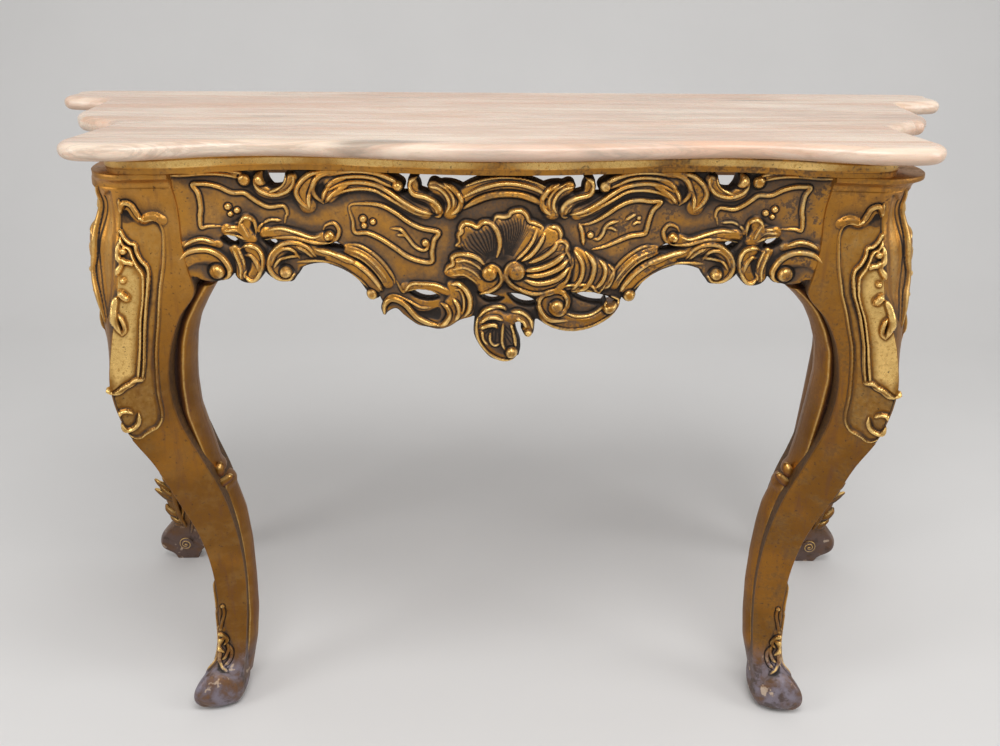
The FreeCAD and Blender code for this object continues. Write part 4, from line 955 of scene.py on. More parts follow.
# Carving on the front face in (x, z); the arris lies at the larger x.
FACE_FIELD = [
    (470, 476), (457, 485), (449, 488), (443, 498), (442, 511), (441, 535), (440, 564), (435, 598),
    (427, 638), (419, 677), (413, 711), (408, 732), (408, 749), (410, 760), (418, 765), (427, 762),
    (436, 762), (444, 768), (449, 776), (458, 773), (465, 760), (474, 745), (486, 700), (494, 620),
    (498, 540), (490, 485)]
FACE_TURNS = ((410, 760), (427, 762), (444, 768), (449, 776), (465, 760))
FACE_CARVING = [
    ("s", 4, 3.2, FACE_FIELD),
    ("p", 5, 4.2, [(470, 747), (459, 741), (455, 734), (448, 731), (446, 723), (442, 714),
        (437, 705), (432, 694), (433, 680), (437, 661), (442, 640), (446, 613), (450, 587),
        (454, 562), (459, 559), (466, 559), (474, 555), (500, 552), (502, 640), (490, 745)]),
    ("w", 6, -1.5, [corner for corner in FACE_FIELD if corner not in FACE_TURNS]),
    ("w", 8, -1.6, [(470, 740), (459, 728), (451, 716), (444, 700), (441, 688), (444, 664),
        (450, 636), (456, 606), (460, 580), (463, 567), (474, 562), (486, 556), (494, 600),
        (492, 660), (484, 735)]),
    ("g", 1.5, 2, [(433, 757), (424, 758), (418, 757), (414, 750), (414, 732), (418, 712),
        (425, 677), (432, 639), (439, 599), (443, 564), (446, 536), (447, 512), (449, 502),
        (457, 492)]),
    ("r", 1.5, 1.2, [(432, 761), (422, 763), (414, 762), (410, 757), (408, 748), (409, 732),
        (412, 711), (420, 677), (427, 638), (435, 598), (439, 564), (441, 535), (441, 511),
        (443, 498), (449, 488), (457, 484), (463, 481), (469, 477), (476, 479), (482, 487)]),
    ("e", 2, 2.2, [(464, 752), (459, 750), (455, 742), (449, 736), (443, 734), (442, 725),
        (438, 715), (432, 707), (431, 697), (434, 678), (438, 659), (443, 633), (447, 607),
        (451, 580), (455, 563)]),
    ("e", 1.5, 1.4, [(460, 743), (457, 734), (450, 729), (447, 719), (443, 708), (438, 699),
        (438, 688), (441, 665), (447, 640), (452, 607), (457, 581), (460, 566)]),
    ("r", 3, 3.4, [(453, 566), (456, 561), (462, 562), (468, 557), (475, 554), (483, 548),
        (490, 547)]),
    ("r", 1.7, 2.2, [(488, 545), (493, 556), (495, 575), (494, 602)]),
    ("m", 6, 4, [(430, 764), (421, 768), (414, 768), (407, 764)]),
    ("g", 0.9, 1.2, [(427, 770), (417, 772), (409, 769)]),
    ("g", 0.9, 1.2, [(427, 766), (418, 767), (409, 765)]),
    ("g", 0.9, 1.2, [(427, 762), (417, 763), (409, 761)]),
    ("s", 3, 2.2, [(456, 762), (454, 770), (449, 774), (445, 770), (443, 764), (449, 759)]),
    ("w", 3, 1.8, [(458, 760), (456, 771), (449, 776), (444, 771), (441, 763), (449, 757)]),
    ("r", 2.8, 3.2, [(457, 772), (453, 782), (448, 785), (442, 782), (439, 776), (435, 768),
        (429, 763)]),
    ("r", 2.2, 2.6, [(455, 789), (456, 780), (456, 772)]),
    ("b", 4.2, 4.2, [(457, 727)]),
    ("r", 2.6, 3.2, [(461, 719), (456, 714), (450, 713), (447, 709)]),
    ("r", 2.2, 3, [(460, 737), (462, 729), (463, 720), (460, 712), (464, 704), (467, 697)]),
    ("b", 3.4, 3.8, [(461, 691)]),
    ("r", 3.6, 4.2, [(467, 678), (462, 671), (456, 667)]),
    ("r", 2.8, 3.6, [(470, 671), (474, 660), (475, 648), (474, 635), (470, 624)]),
    ("r", 2.4, 3, [(470, 623), (466, 630), (467, 640), (471, 649)]),
    ("r", 2, 2.2, [(472, 718), (474, 700), (478, 684), (484, 670)]),
    ("r", 2, 2.6, [(486, 514), (485, 519), (480, 520), (475, 518), (472, 514)]),
    ("r", 2.2, 2.8, [(466, 512), (467, 504), (470, 497), (475, 493), (481, 492), (485, 497),
        (486, 504)]),
]
# Carving on the outer face as (distance from the arris, z).
SIDE_FIELD = [(8, 800), (10, 781), (5, 749), (5, 713), (5, 684), (8, 650), (15, 640), (18, 667),
              (21, 685), (24, 707), (22, 735), (23, 760), (22, 790)]
SIDE_PANEL = [(62, 742), (58, 690), (54, 620), (52, 562), (60, 552), (70, 560), (76, 590),
              (80, 640), (78, 700), (74, 738)]
SIDE_CARVING = [
    ("s", 4, 2.4, SIDE_FIELD),
    ("w", 5, -1.7, SIDE_FIELD),
    ("g", 1.8, 2.2, [(22, 790), (23, 760), (23, 740), (24, 720), (24, 703), (21, 685), (18, 667),
        (14, 640)]),
    ("r", 3.6, 4.2, [(24, 806), (34, 790), (36, 770), (33, 751), (30, 733), (32, 713), (37, 697),
        (34, 682), (28, 668), (24, 650), (20, 632)]),
    ("r", 2.4, 3, [(34, 790), (42, 784), (46, 774), (42, 766)]),
    ("r", 2.4, 3, [(34, 760), (42, 752), (44, 742), (38, 736)]),
    ("r", 2.4, 3, [(32, 730), (41, 724), (43, 714), (38, 706)]),
    ("b", 5, 5, [(46, 690)]),
    ("b", 4.2, 4.6, [(38, 666)]),
    ("m", 8, 3, [(50, 780), (52, 740), (52, 700), (48, 660), (44, 620)]),
    ("p", 6, 3.2, SIDE_PANEL),
    ("e", 2.2, 2.2, SIDE_PANEL + SIDE_PANEL[:1]),
    ("r", 2.4, 2.6, [(40, 640), (44, 610), (42, 585), (36, 560)]),
    ("r", 2.4, 2.4, [(62, 520), (54, 496), (40, 482), (22, 480)]),
]
ANKLE = [
    ("m", 6, 2.6, [(418, 124), (420, 100), (418, 80), (416, 66)]),
    ("m", 27, 6.5, [(428, 34), (424, 30)]),
    ("b", 3.2, 3.2, [(413, 165)]),
    ("r", 1.8, 2.2, [(413, 168), (412, 153), (416, 138), (419, 124)]),
    ("r", 2.4, 3, [(421, 122), (415, 113), (412, 105), (417, 98)]),
    ("r", 2.4, 3, [(413, 114), (421, 105), (423, 94), (417, 86)]),
    ("r", 2.2, 2.8, [(413, 101), (411, 90), (415, 80), (421, 75)]),
    ("r", 2.4, 3, [(409, 95), (407, 83), (410, 72), (418, 65)]),
    ("r", 2, 2.6, [(421, 89), (424, 77), (421, 65), (412, 57)]),
    ("w", 6, 0.7, [(426, 126), (408, 118), (403, 90), (406, 58), (424, 54), (430, 90)]),
]
ANKLE_SIDE = [
    ("r", 2.6, 2.8, [(4, 210), (12, 190), (8, 168), (16, 150)]),
    ("r", 2.6, 2.8, [(6, 160), (18, 146), (14, 124), (24, 108)]),
    ("r", 2.8, 3, [(6, 130), (20, 112), (18, 92), (30, 72)]),
    ("r", 2.8, 3, [(4, 100), (14, 84), (12, 64), (20, 50)]),
    ("r", 2.4, 2.6, [(26, 116), (36, 96), (38, 76), (34, 60)]),
]
REAR_FACE = [
    ("m", 10, 4, [(600, 196), (598, 160), (594, 120), (596, 92)]),
    ("r", 2.6, 3, [(612, 190), (604, 176), (606, 158), (598, 142)]),
    ("r", 2.6, 3, [(592, 196), (588, 176), (592, 156), (586, 136)]),
    ("r", 2.6, 3, [(604, 160), (610, 144), (604, 126), (598, 104)]),
    ("r", 2.4, 2.8, [(584, 150), (580, 130), (586, 110), (590, 92)]),
    ("r", 2.2, 2.4, [(570, 140), (566, 112), (572, 84), (578, 64)]),
    ("r", 2.2, 2.4, [(556, 120), (552, 90), (558, 66), (566, 50)]),
]
SIDE_SPAN = 90.0             # the flank's width, as the side items count it
# Points across the front, round the flank, across the back and up the inner
# side of a leg, and the spacing of its rows.
FRONT_COUNTS, FRONT_STEP = (100, 84, 22, 22), 1.2
REAR_COUNTS, REAR_STEP = (60, 30, 30, 20), 1.8
EASE = 3                     # rounds of smoothing for every section
BALL_EASE = 160              # and more for the ball of the foot,
BALL_TOP = 74.0              # which ends at this height
BALL_BLEND = 20.0            # and turns into the shank over this much
FLANK_BLEND = 5              # the front's carving runs out over this much of the flank
INNER_DARKENING = 0.85           # the inner side is darkened,
INNER_TOP = 690              # up to this height


def rows_at(table, z):
    """The section corners of a leg at each height, eased between the table's rows."""
    t = np.array([[row[0]] + [c for p in row[1:] for c in p] for row in table], float)
    h, v = t[:, 0], t[:, 1:]
    slope = np.gradient(v, h, axis=0)
    k = np.clip(np.searchsorted(h, z, "right") - 1, 0, len(h) - 2)
    gap = (h[k + 1] - h[k])[:, None]
    u = ((z - h[k]) / gap[:, 0])[:, None]
    out = ((2 * u ** 3 - 3 * u ** 2 + 1) * v[k] + (u ** 3 - 2 * u ** 2 + u) * gap * slope[k]
           + (3 * u ** 2 - 2 * u ** 3) * v[k + 1] + (u ** 3 - u ** 2) * gap * slope[k + 1])
    return out.reshape(len(z), -1, 2)


def leg_rows(table, cap, step):
    """Heights and section corners from the floor to the top of the cap."""
    z = np.linspace(0, CAP_LOW, int(CAP_LOW / step))
    corners = rows_at(table, z)
    low, edge = (np.array(c, float) for c in cap)
    for up, share in CAP_PROFILE:
        z = np.r_[z, CAP_LOW + up]
        corners = np.concatenate([corners, (low + (edge - low) * share)[None]])
    return z, corners


def leg_loops(z, corners, counts, ball):
    """The sections as closed loops, eased so that their corners are soft."""
    f, r, s, b, i = (corners[:, k][:, None] for k in range(5))
    ta, tb, tc, td = (np.linspace(0, 1, n, endpoint=False)[None, :, None] for n in counts)
    bulge = 2 * s - (r + b) / 2
    side = (1 - tb) ** 2 * r + 2 * tb * (1 - tb) * bulge + tb ** 2 * b
    loop = np.concatenate([f + (r - f) * ta, side, b + (i - b) * tc, i + (f - i) * td], 1)
    soft = np.clip((ball - z) / BALL_BLEND, 0, 1)[:, None, None]
    for k in range(EASE + BALL_EASE):
        share = soft if k >= EASE else 1.0
        loop = loop + share * ((np.roll(loop, 1, 1) + np.roll(loop, -1, 1)) / 2 - loop) / 2
    return loop


def leg_carving(x, z, counts, face_items, side_items):
    """Height and stain of the carving on a leg's front and its flank, and a darkening of its inner
    side.
    """
    front, side, back, _ = counts
    height, stain = np.zeros(x.shape), np.zeros(x.shape)
    body = z < CAP_LOW + 1
    face = np.zeros(x.shape, bool)
    face[:, :front + 2] = True
    face &= body
    height[face], stain[face] = carve(face_items, x[face], z[face])
    flank = np.zeros(x.shape, bool)
    flank[:, front:front + side] = True
    flank &= body
    along = np.zeros(x.shape)
    along[:, front:front + side] = SIDE_SPAN * np.linspace(0, 1, side, endpoint=False)
    pressed, stained = carve(side_items, along[flank], z[flank])
    blend = np.clip(along[flank] / FLANK_BLEND, 0, 1)
    height[flank] = height[flank] * (1 - blend) + pressed * blend
    stain[flank] = stained
    inner = front + side + back
    stain[:, inner:] = INNER_DARKENING * (z < INNER_TOP)[:, inner:]
    return height, stain


def leg_surface(table, cap, counts, step, face_items, side_items, lean=None, ball=0.0):
    """Skin of a leg as a grid of points, with its carving pressed in."""
    z, corners = leg_rows(table, cap, step)
    loop = leg_loops(z, corners, counts, ball)
    zz = np.repeat(z[:, None], loop.shape[1], 1)
    height, stain = leg_carving(loop[..., 0], zz, counts, face_items, side_items)
    points = place(loop[..., 0], loop[..., 1], zz)
    n = normals_of(points)
    n[..., 2][zz > CAP_LOW - 2] = 0
    points = points + n * (height * MM)[..., None]
    if lean:
        points[..., 0] += MM * np.interp(zz, *zip(*lean))
    return points, hollows(height, np.ones(height.shape, bool), stain, step)


def skin(points, hollow):
    """Vertices and faces of a closed tube of rows, with both ends filled."""
    m, n = points.shape[:2]
    return points.reshape(-1, 3), tube_faces(m, n), hollow.reshape(m * n, -1)


# ---- curls
ROPE_AROUND, ROPE_STEPS, ROPE_EASE = 14, 60, 30
TIP_SHARE = 0.01             # keeps a rope's round ends from closing to nothing
ROPE_DEPTH, ROPE_SHADE = 0.1, 2.4        # curls get a painted highlight above and painted shade below


def ropes(strands):
    """Solid curls: ropes along (x, depth, z, radius) points, closed at both ends."""
    verts, faces, hollow, first = [], [], [], 0
    turn = np.linspace(0, 2 * math.pi, ROPE_AROUND, endpoint=False)[None, :, None]
    for strand in strands:
        t = np.array(strand, float)
        k = np.linspace(0, len(t) - 1, ROPE_STEPS)
        line = np.stack([np.interp(k, np.arange(len(t)), c) for c in t.T], 1)
        ease(line, ROPE_EASE)
        path, radius = line[:, :3], line[:, 3:]
        gone = np.r_[0, np.cumsum(np.linalg.norm(np.diff(path, axis=0), axis=1))]
        end = np.clip(np.minimum(gone, gone[-1] - gone)[:, None] / radius, 0, 1)
        radius = radius * np.sqrt(np.clip(1 - (1 - end) ** 2, TIP_SHARE, 1))
        along = np.gradient(path, axis=0)
        across = np.cross(along, (0.0, 1.0, 0.0))
        out = np.cross(along, across)
        across, out = (v / np.linalg.norm(v, axis=1, keepdims=True) for v in (across, out))
        ring = np.cos(turn) * across[:, None] + np.sin(turn) * out[:, None]
        p = path[:, None] + radius[:, None] * ring
        # Painted highlight on the upper side of each rope, painted shade on its underside.
        depth = ROPE_DEPTH - ROPE_SHADE * ring[..., 2]
        v, f, h = skin(place(p[..., 0], p[..., 1], p[..., 2]), depth)
        verts.append(v)
        faces += [tuple(first + int(i) for i in face) for face in f]
        hollow.append(h)
        first += len(v)
    return np.concatenate(verts), faces, np.concatenate(hollow)


# Leaf curls on the outer side of each rear ankle, as (x, depth, z, radius).
LEAF_SHEATH = [
    [(590, 438, 198, 7), (602, 436, 180, 11), (606, 435, 158, 13), (602, 435, 132, 12),
     (596, 435, 108, 10), (586, 436, 84, 6)],
    [(596, 430, 138, 7), (610, 428, 148, 8), (621, 427, 157, 5.5), (631, 428, 163, 2.0)],
    [(598, 428, 158, 6), (610, 426, 168, 7), (620, 425, 176, 5), (628, 427, 184, 2.0)],
    [(592, 428, 176, 6), (602, 424, 188, 6.5), (611, 424, 196, 4.5), (618, 428, 202, 1.8)],
    [(594, 422, 148, 4), (606, 420, 158, 4.6), (616, 422, 169, 3.6), (621, 426, 178, 1.6)],
    [(592, 422, 166, 4), (601, 419, 176, 4.4), (608, 420, 186, 3.2), (612, 424, 193, 1.6)],
    [(590, 430, 104, 6), (603, 426, 112, 7.5), (612, 427, 121, 5.5), (615, 430, 130, 2)],
    [(586, 430, 88, 5), (597, 426, 95, 6), (606, 427, 102, 4), (609, 430, 108, 1.8)],
    [(590, 424, 196, 3), (594, 419, 172, 4.4), (594, 419, 140, 4.6), (590, 421, 108, 4),
     (582, 425, 82, 2.4)]]
# Small rolls where the two ribs of a front leg meet.
KNUCKLES = {
    "left": [[(401, 82, 369, 5.0), (390, 77, 376, 6.4), (375, 80, 387, 5.0)],
             [(390, 86, 405, 5.0), (393, 80, 395, 7.6), (395, 84, 384, 6.0)]],
    "right": [[(409, 82, 373, 5.0), (399, 77, 383, 6.4), (387, 80, 394, 5.0)],
              [(399, 86, 409, 5.0), (403, 80, 399, 7.6), (406, 84, 388, 6.0)]]}


# ---- leg ribs
# Rows: height, free edge x, front depth, back depth.
UPPER_LEFT = [(676, 360, 46, 90), (653, 375, 46, 94), (628, 389, 46, 100),
              (600, 398, 47, 104), (564, 404, 49, 107), (533, 407, 51, 108),
              (493, 407, 54, 110), (462, 402, 59, 113), (421, 396, 68, 117),
              (384, 391, 78, 120)]
LOWER_LEFT = [(379, 384, 78, 122), (358, 378, 83, 125), (314, 370, 90, 130),
              (259, 367, 95, 133), (196, 368, 99, 134), (136, 370, 99, 133),
              (84, 376, 95, 132), (30, 387, 85, 124)]
UPPER_RIGHT = [(676, 360, 46, 90), (665, 373, 46, 92), (646, 390, 46, 96),
               (622, 403, 46, 101), (589, 415, 48, 105), (550, 419, 50, 108),
               (507, 416, 53, 109), (442, 411, 63, 115), (404, 406, 73, 119),
               (384, 401, 78, 120)]
LOWER_RIGHT = [(379, 396, 78, 122), (358, 389, 83, 125), (328, 381, 89, 129),
               (292, 377, 92, 132), (246, 374, 96, 133), (191, 373, 99, 134),
               (136, 375, 99, 133), (90, 379, 95, 132), (30, 393, 85, 124)]
REAR_RIB = [(670, 484, 408, 460), (600, 514, 410, 462), (530, 533, 412, 464),
            (440, 539, 414, 466), (350, 532, 420, 468), (230, 523, 426, 470),
            (130, 517, 434, 470)]
# Ribs as (name, rows, knuckle at the top, knuckle at the bottom).
RIBS = (("upper_front_right", UPPER_RIGHT, False, True),
        ("upper_front_left", UPPER_LEFT, False, True),
        ("lower_front_right", LOWER_RIGHT, True, False),
        ("lower_front_left", LOWER_LEFT, True, False),
        ("rear_right", REAR_RIB, False, False), ("rear_left", REAR_RIB, False, False))
# Half section of a rib from inside the leg round to the middle of its free
# edge, as (across from the free edge, share of the half depth): a channel, a
# roll, then the bellied underside.
RIB_FRONT = [(34, 0.10), (26, 0.13), (21, 0.16), (17, 0.14), (14.5, 0.05), (12, -0.02), (9, 0.0),
             (6.4, 0.10), (4.4, 0.26), (2.4, 0.46), (0.8, 0.74), (0.2, 1.0)]


# How deep the section counts as lying, from the free edge inwards: the lowest values paint a
# highlight stripe down the roll, and the high ones darken the channel, partly as red bole and
# partly as painted shade.
RIB_DEPTH = [(0, 0.2), (4, 0.0), (7, -0.3), (9.5, -1.25), (12, 0.3), (15, 1.4), (19, 2.6),
             (25, 2.8), (34, 1.2)]
RIB_STEP, RIB_ROUND_STEP = 1.6, 1.3      # spacing of the points along and round a rib
RIB_HALF = 24                # half depth that the points of the section are spaced for
RIB_EASE = 14
# The free edge swells at a knuckle, and then tucks in over the rib's last bit.
SWELL, SWELL_AT, SWELL_WIDTH = 4.0, 9, 7
TUCK, TUCK_LENGTH = 9, 5
SINK_LENGTH = 60             # length over which a rib's end sinks into its leg
REAR_SINK = 26.0


def knuckle(x, to_end):
    """The free edge with a knuckle at the end that lies so far off."""
    x = x - SWELL * np.exp(-((to_end - SWELL_AT) / SWELL_WIDTH) ** 2)
    return x + TUCK * np.clip(1 - to_end / TUCK_LENGTH, 0, 1) ** 2


def rib_surface(rows, knuckle_top, knuckle_low, sink=0.0):
    """Rounded roll with a channel beside it, which may end in small knuckles."""
    rows = sorted(rows)
    t = np.array(rows, float)
    z0, z1 = t[0, 0], t[-1, 0]
    z = np.linspace(z0, z1, int((z1 - z0) / RIB_STEP))
    x, y0, y1 = (np.interp(z, t[:, 0], t[:, k]) for k in (1, 2, 3))
    for line in (x, y0, y1):
        ease(line, RIB_EASE)
    to_top, to_low = z1 - z, z - z0
    x = x + sink * np.clip(1 - np.minimum(to_top, to_low) / SINK_LENGTH, 0, 1) ** 2
    if knuckle_top:
        x = knuckle(x, to_top)
    if knuckle_low:
        x = knuckle(x, to_low)
    front = even(smooth([(a, RIB_HALF * b) for a, b in RIB_FRONT], FINE_STEP), RIB_ROUND_STEP)
    across, share = front[:, 0], front[:, 1] / RIB_HALF
    half = (y1 - y0)[:, None] / 2
    near_side = y0[:, None] + half * share
    far_side = (y1[:, None] - half * np.clip(share, 0, 1))[:, ::-1]
    wide = x[:, None] + np.r_[across, across[::-1]]
    deep = np.concatenate([near_side, far_side], 1)
    points = place(wide, deep, np.repeat(z[:, None], wide.shape[1], 1))
    depth = np.interp(across, *zip(*RIB_DEPTH))
    return points, np.tile(np.r_[depth, depth[::-1]], (len(z), 1))


# ---- rear toe
TOE_X, TOE_Z, TOE_R = 590.0, 42.0, 12.0
TOE_FACE, TOE_BACK, TOE_PROUD = 430.0, 442.0, 2.5
TOE_RINGS, TOE_AROUND = 30, 96
EYE_DOME = 3.2
BUTTON_RISE, BUTTON_SHARE = 2.4, 0.26    # small button in the middle
SPIRAL_TURNS, SPIRAL_RISE, SPIRAL_SHADE = 2.2, 1.1, 1.4
SPIRAL_START, SPIRAL_END = 4, 0.97       # fades in over a quarter of the radius, ends at the rim


def toe_scroll(shift):
    """Turned eye of the scroll toe with a spiral worked into its face."""
    radii = np.linspace(0, 1, TOE_RINGS)
    turn = np.linspace(0, 2 * math.pi, TOE_AROUND + 1)[:-1]
    r, a = np.meshgrid(radii, turn, indexing="ij")
    spiral = np.cos(2 * math.pi * (SPIRAL_TURNS * r) - a)
    worked = SPIRAL_RISE * spiral * np.clip(r * SPIRAL_START, 0, 1) * (r < SPIRAL_END)
    dome = EYE_DOME * np.sqrt(np.clip(1 - r ** 2, 0, 1)) + worked
    dome += BUTTON_RISE * np.sqrt(np.clip(1 - (r / BUTTON_SHARE) ** 2, 0, 1))
    x = TOE_X + shift + TOE_R * r * np.cos(a)
    z = TOE_Z + TOE_R * r * np.sin(a)
    front = place(x, TOE_FACE + TOE_PROUD - dome, z)
    rim = place(x[-1:], np.full((1, TOE_AROUND), TOE_BACK), z[-1:])
    points = np.concatenate([front, rim])
    # The spiral's ridges get painted highlights and its grooves painted shade.
    hollow = np.concatenate([-SPIRAL_SHADE * spiral, np.zeros((1, TOE_AROUND))])
    m, n = points.shape[:2]
    faces = list(grid_faces(m, n, wrap=True, flip_side=True))
    faces.append(list(range((m - 1) * n, m * n)))
    return points.reshape(-1, 3), faces, hollow.reshape(-1)


# ---- shader nodes
def feed(tree, socket, value):
    """Gives a socket a plain value, or links another node's socket to it."""
    if isinstance(value, bpy.types.NodeSocket):
        tree.links.new(value, socket)
    else:
        socket.default_value = value


def node(tree, kind, options=None, **inputs):
    """Adds a shader node; an input is a value or another node's socket."""
    made = tree.nodes.new("ShaderNode" + kind)
    for key, value in (options or {}).items():
        setattr(made, key, value)
    for key, value in inputs.items():
        feed(tree, made.inputs[key.replace("_", " ")], value)
    return made


def add_mix(tree, share, a, b, blend="MIX"):
    """Colour a turned into colour b by the share."""
    made = node(tree, "Mix", {"data_type": "RGBA", "blend_type": blend})
    for index, value in ((0, share), (6, a), (7, b)):
        feed(tree, made.inputs[index], value)
    return made.outputs[2]


def add_maths(tree, operation, a, b=0.5, c=0.5, clamp=False):
    """One sum of up to three values."""
    made = node(tree, "Math", {"operation": operation, "use_clamp": clamp})
    for index, value in enumerate((a, b, c)):
        feed(tree, made.inputs[index], value)
    return made.outputs[0]


def add_span(tree, value, low, high, out_low=0.0, out_high=1.0):
    """Maps a value's range from low..high to out_low..out_high, held at both ends."""
    made = node(tree, "MapRange", {"interpolation_type": "SMOOTHSTEP"}, Value=value)
    for index, bound in enumerate((low, high, out_low, out_high)):
        feed(tree, made.inputs[index + 1], bound)
    return made.outputs[0]


def add_noise(tree, at, scale, detail=4.0, rough=0.55, warp=0.0):
    """Cloudy values round a half."""
    return node(tree, "TexNoise", None, Vector=at, Scale=scale, Detail=detail,
                Roughness=rough, Distortion=warp).outputs["Fac"]


def add_stretch(tree, at, x, y, z):
    """Places scaled along each axis, so that a noise on them runs along the lowest."""
    return node(tree, "Mapping", None, Vector=at, Scale=(x, y, z)).outputs["Vector"]


def tools_for(tree):
    """The five functions above for one tree, and its places on the object."""
    tools = [functools.partial(add, tree)
             for add in (add_mix, add_maths, add_span, add_noise, add_stretch)]
    return tools + [node(tree, "TexCoord").outputs["Object"]]


def new_group(name, inputs, outputs):
    """An empty node group with the named sockets, and its inputs and outputs."""
    group = bpy.data.node_groups.new(name, "ShaderNodeTree")
    kinds = {"f": "NodeSocketFloat", "c": "NodeSocketColor"}
    for label, kind, default in inputs:
        socket = group.interface.new_socket(label, in_out="INPUT", socket_type=kinds[kind])
        if default is not None:
            socket.default_value = default
    for label, kind in outputs:
        group.interface.new_socket(label, in_out="OUTPUT", socket_type=kinds[kind])
    given, made = group.nodes.new("NodeGroupInput"), group.nodes.new("NodeGroupOutput")
    return group, given.outputs, made.inputs


# ---- gilding
PAINTED_LIGHT_GAIN = (1.75, 1.90, 2.4, 1.0)         # multiplies the gold as painted light at the upper left
PALE_CHIP = (0.60, 0.46, 0.34, 1.0)      # bare ground in the chips of the feet
DARK_CHIP = (0.045, 0.028, 0.020, 1.0)
CREVICE_SHADE = (0.16, 0.13, 0.12, 1.0)           # multiplies the wash to paint shade in the deepest cuts


def relief_group():
    """Where the carving is cut deep, for wash and painted shade, and where it stands high, for
    rubbed gold with a painted highlight.
    """
    group, given, made = new_group("Carved relief", [("Reach", "f", 1.0)],
                                   [("Hollow", "f"), ("Crest", "f"), ("Crevice", "f")])
    _, maths, span, noise, _, at = tools_for(group)
    depth = node(group, "Attribute", {"attribute_name": DEPTH_LAYER}).outputs["Fac"]
    beside = node(group, "Attribute", {"attribute_name": EDGE_LAYER}).outputs["Fac"]
    ragged = noise(at, 160.0, 3.0)
    shaken = maths("MULTIPLY_ADD", ragged, 0.7, depth)
    high = maths("MULTIPLY", given["Reach"], 1.5)
    edge = maths("MULTIPLY", given["Reach"], -0.25)
    low = maths("MULTIPLY", given["Reach"], -1.7)
    deep = maths("MULTIPLY", given["Reach"], 3.2)
    feed(group, made["Hollow"], span(shaken, 0.15, high))
    feed(group, made["Crest"], span(maths("MULTIPLY_ADD", ragged, 0.5, beside), edge, low))
    feed(group, made["Crevice"], span(shaken, high, deep))
    return group


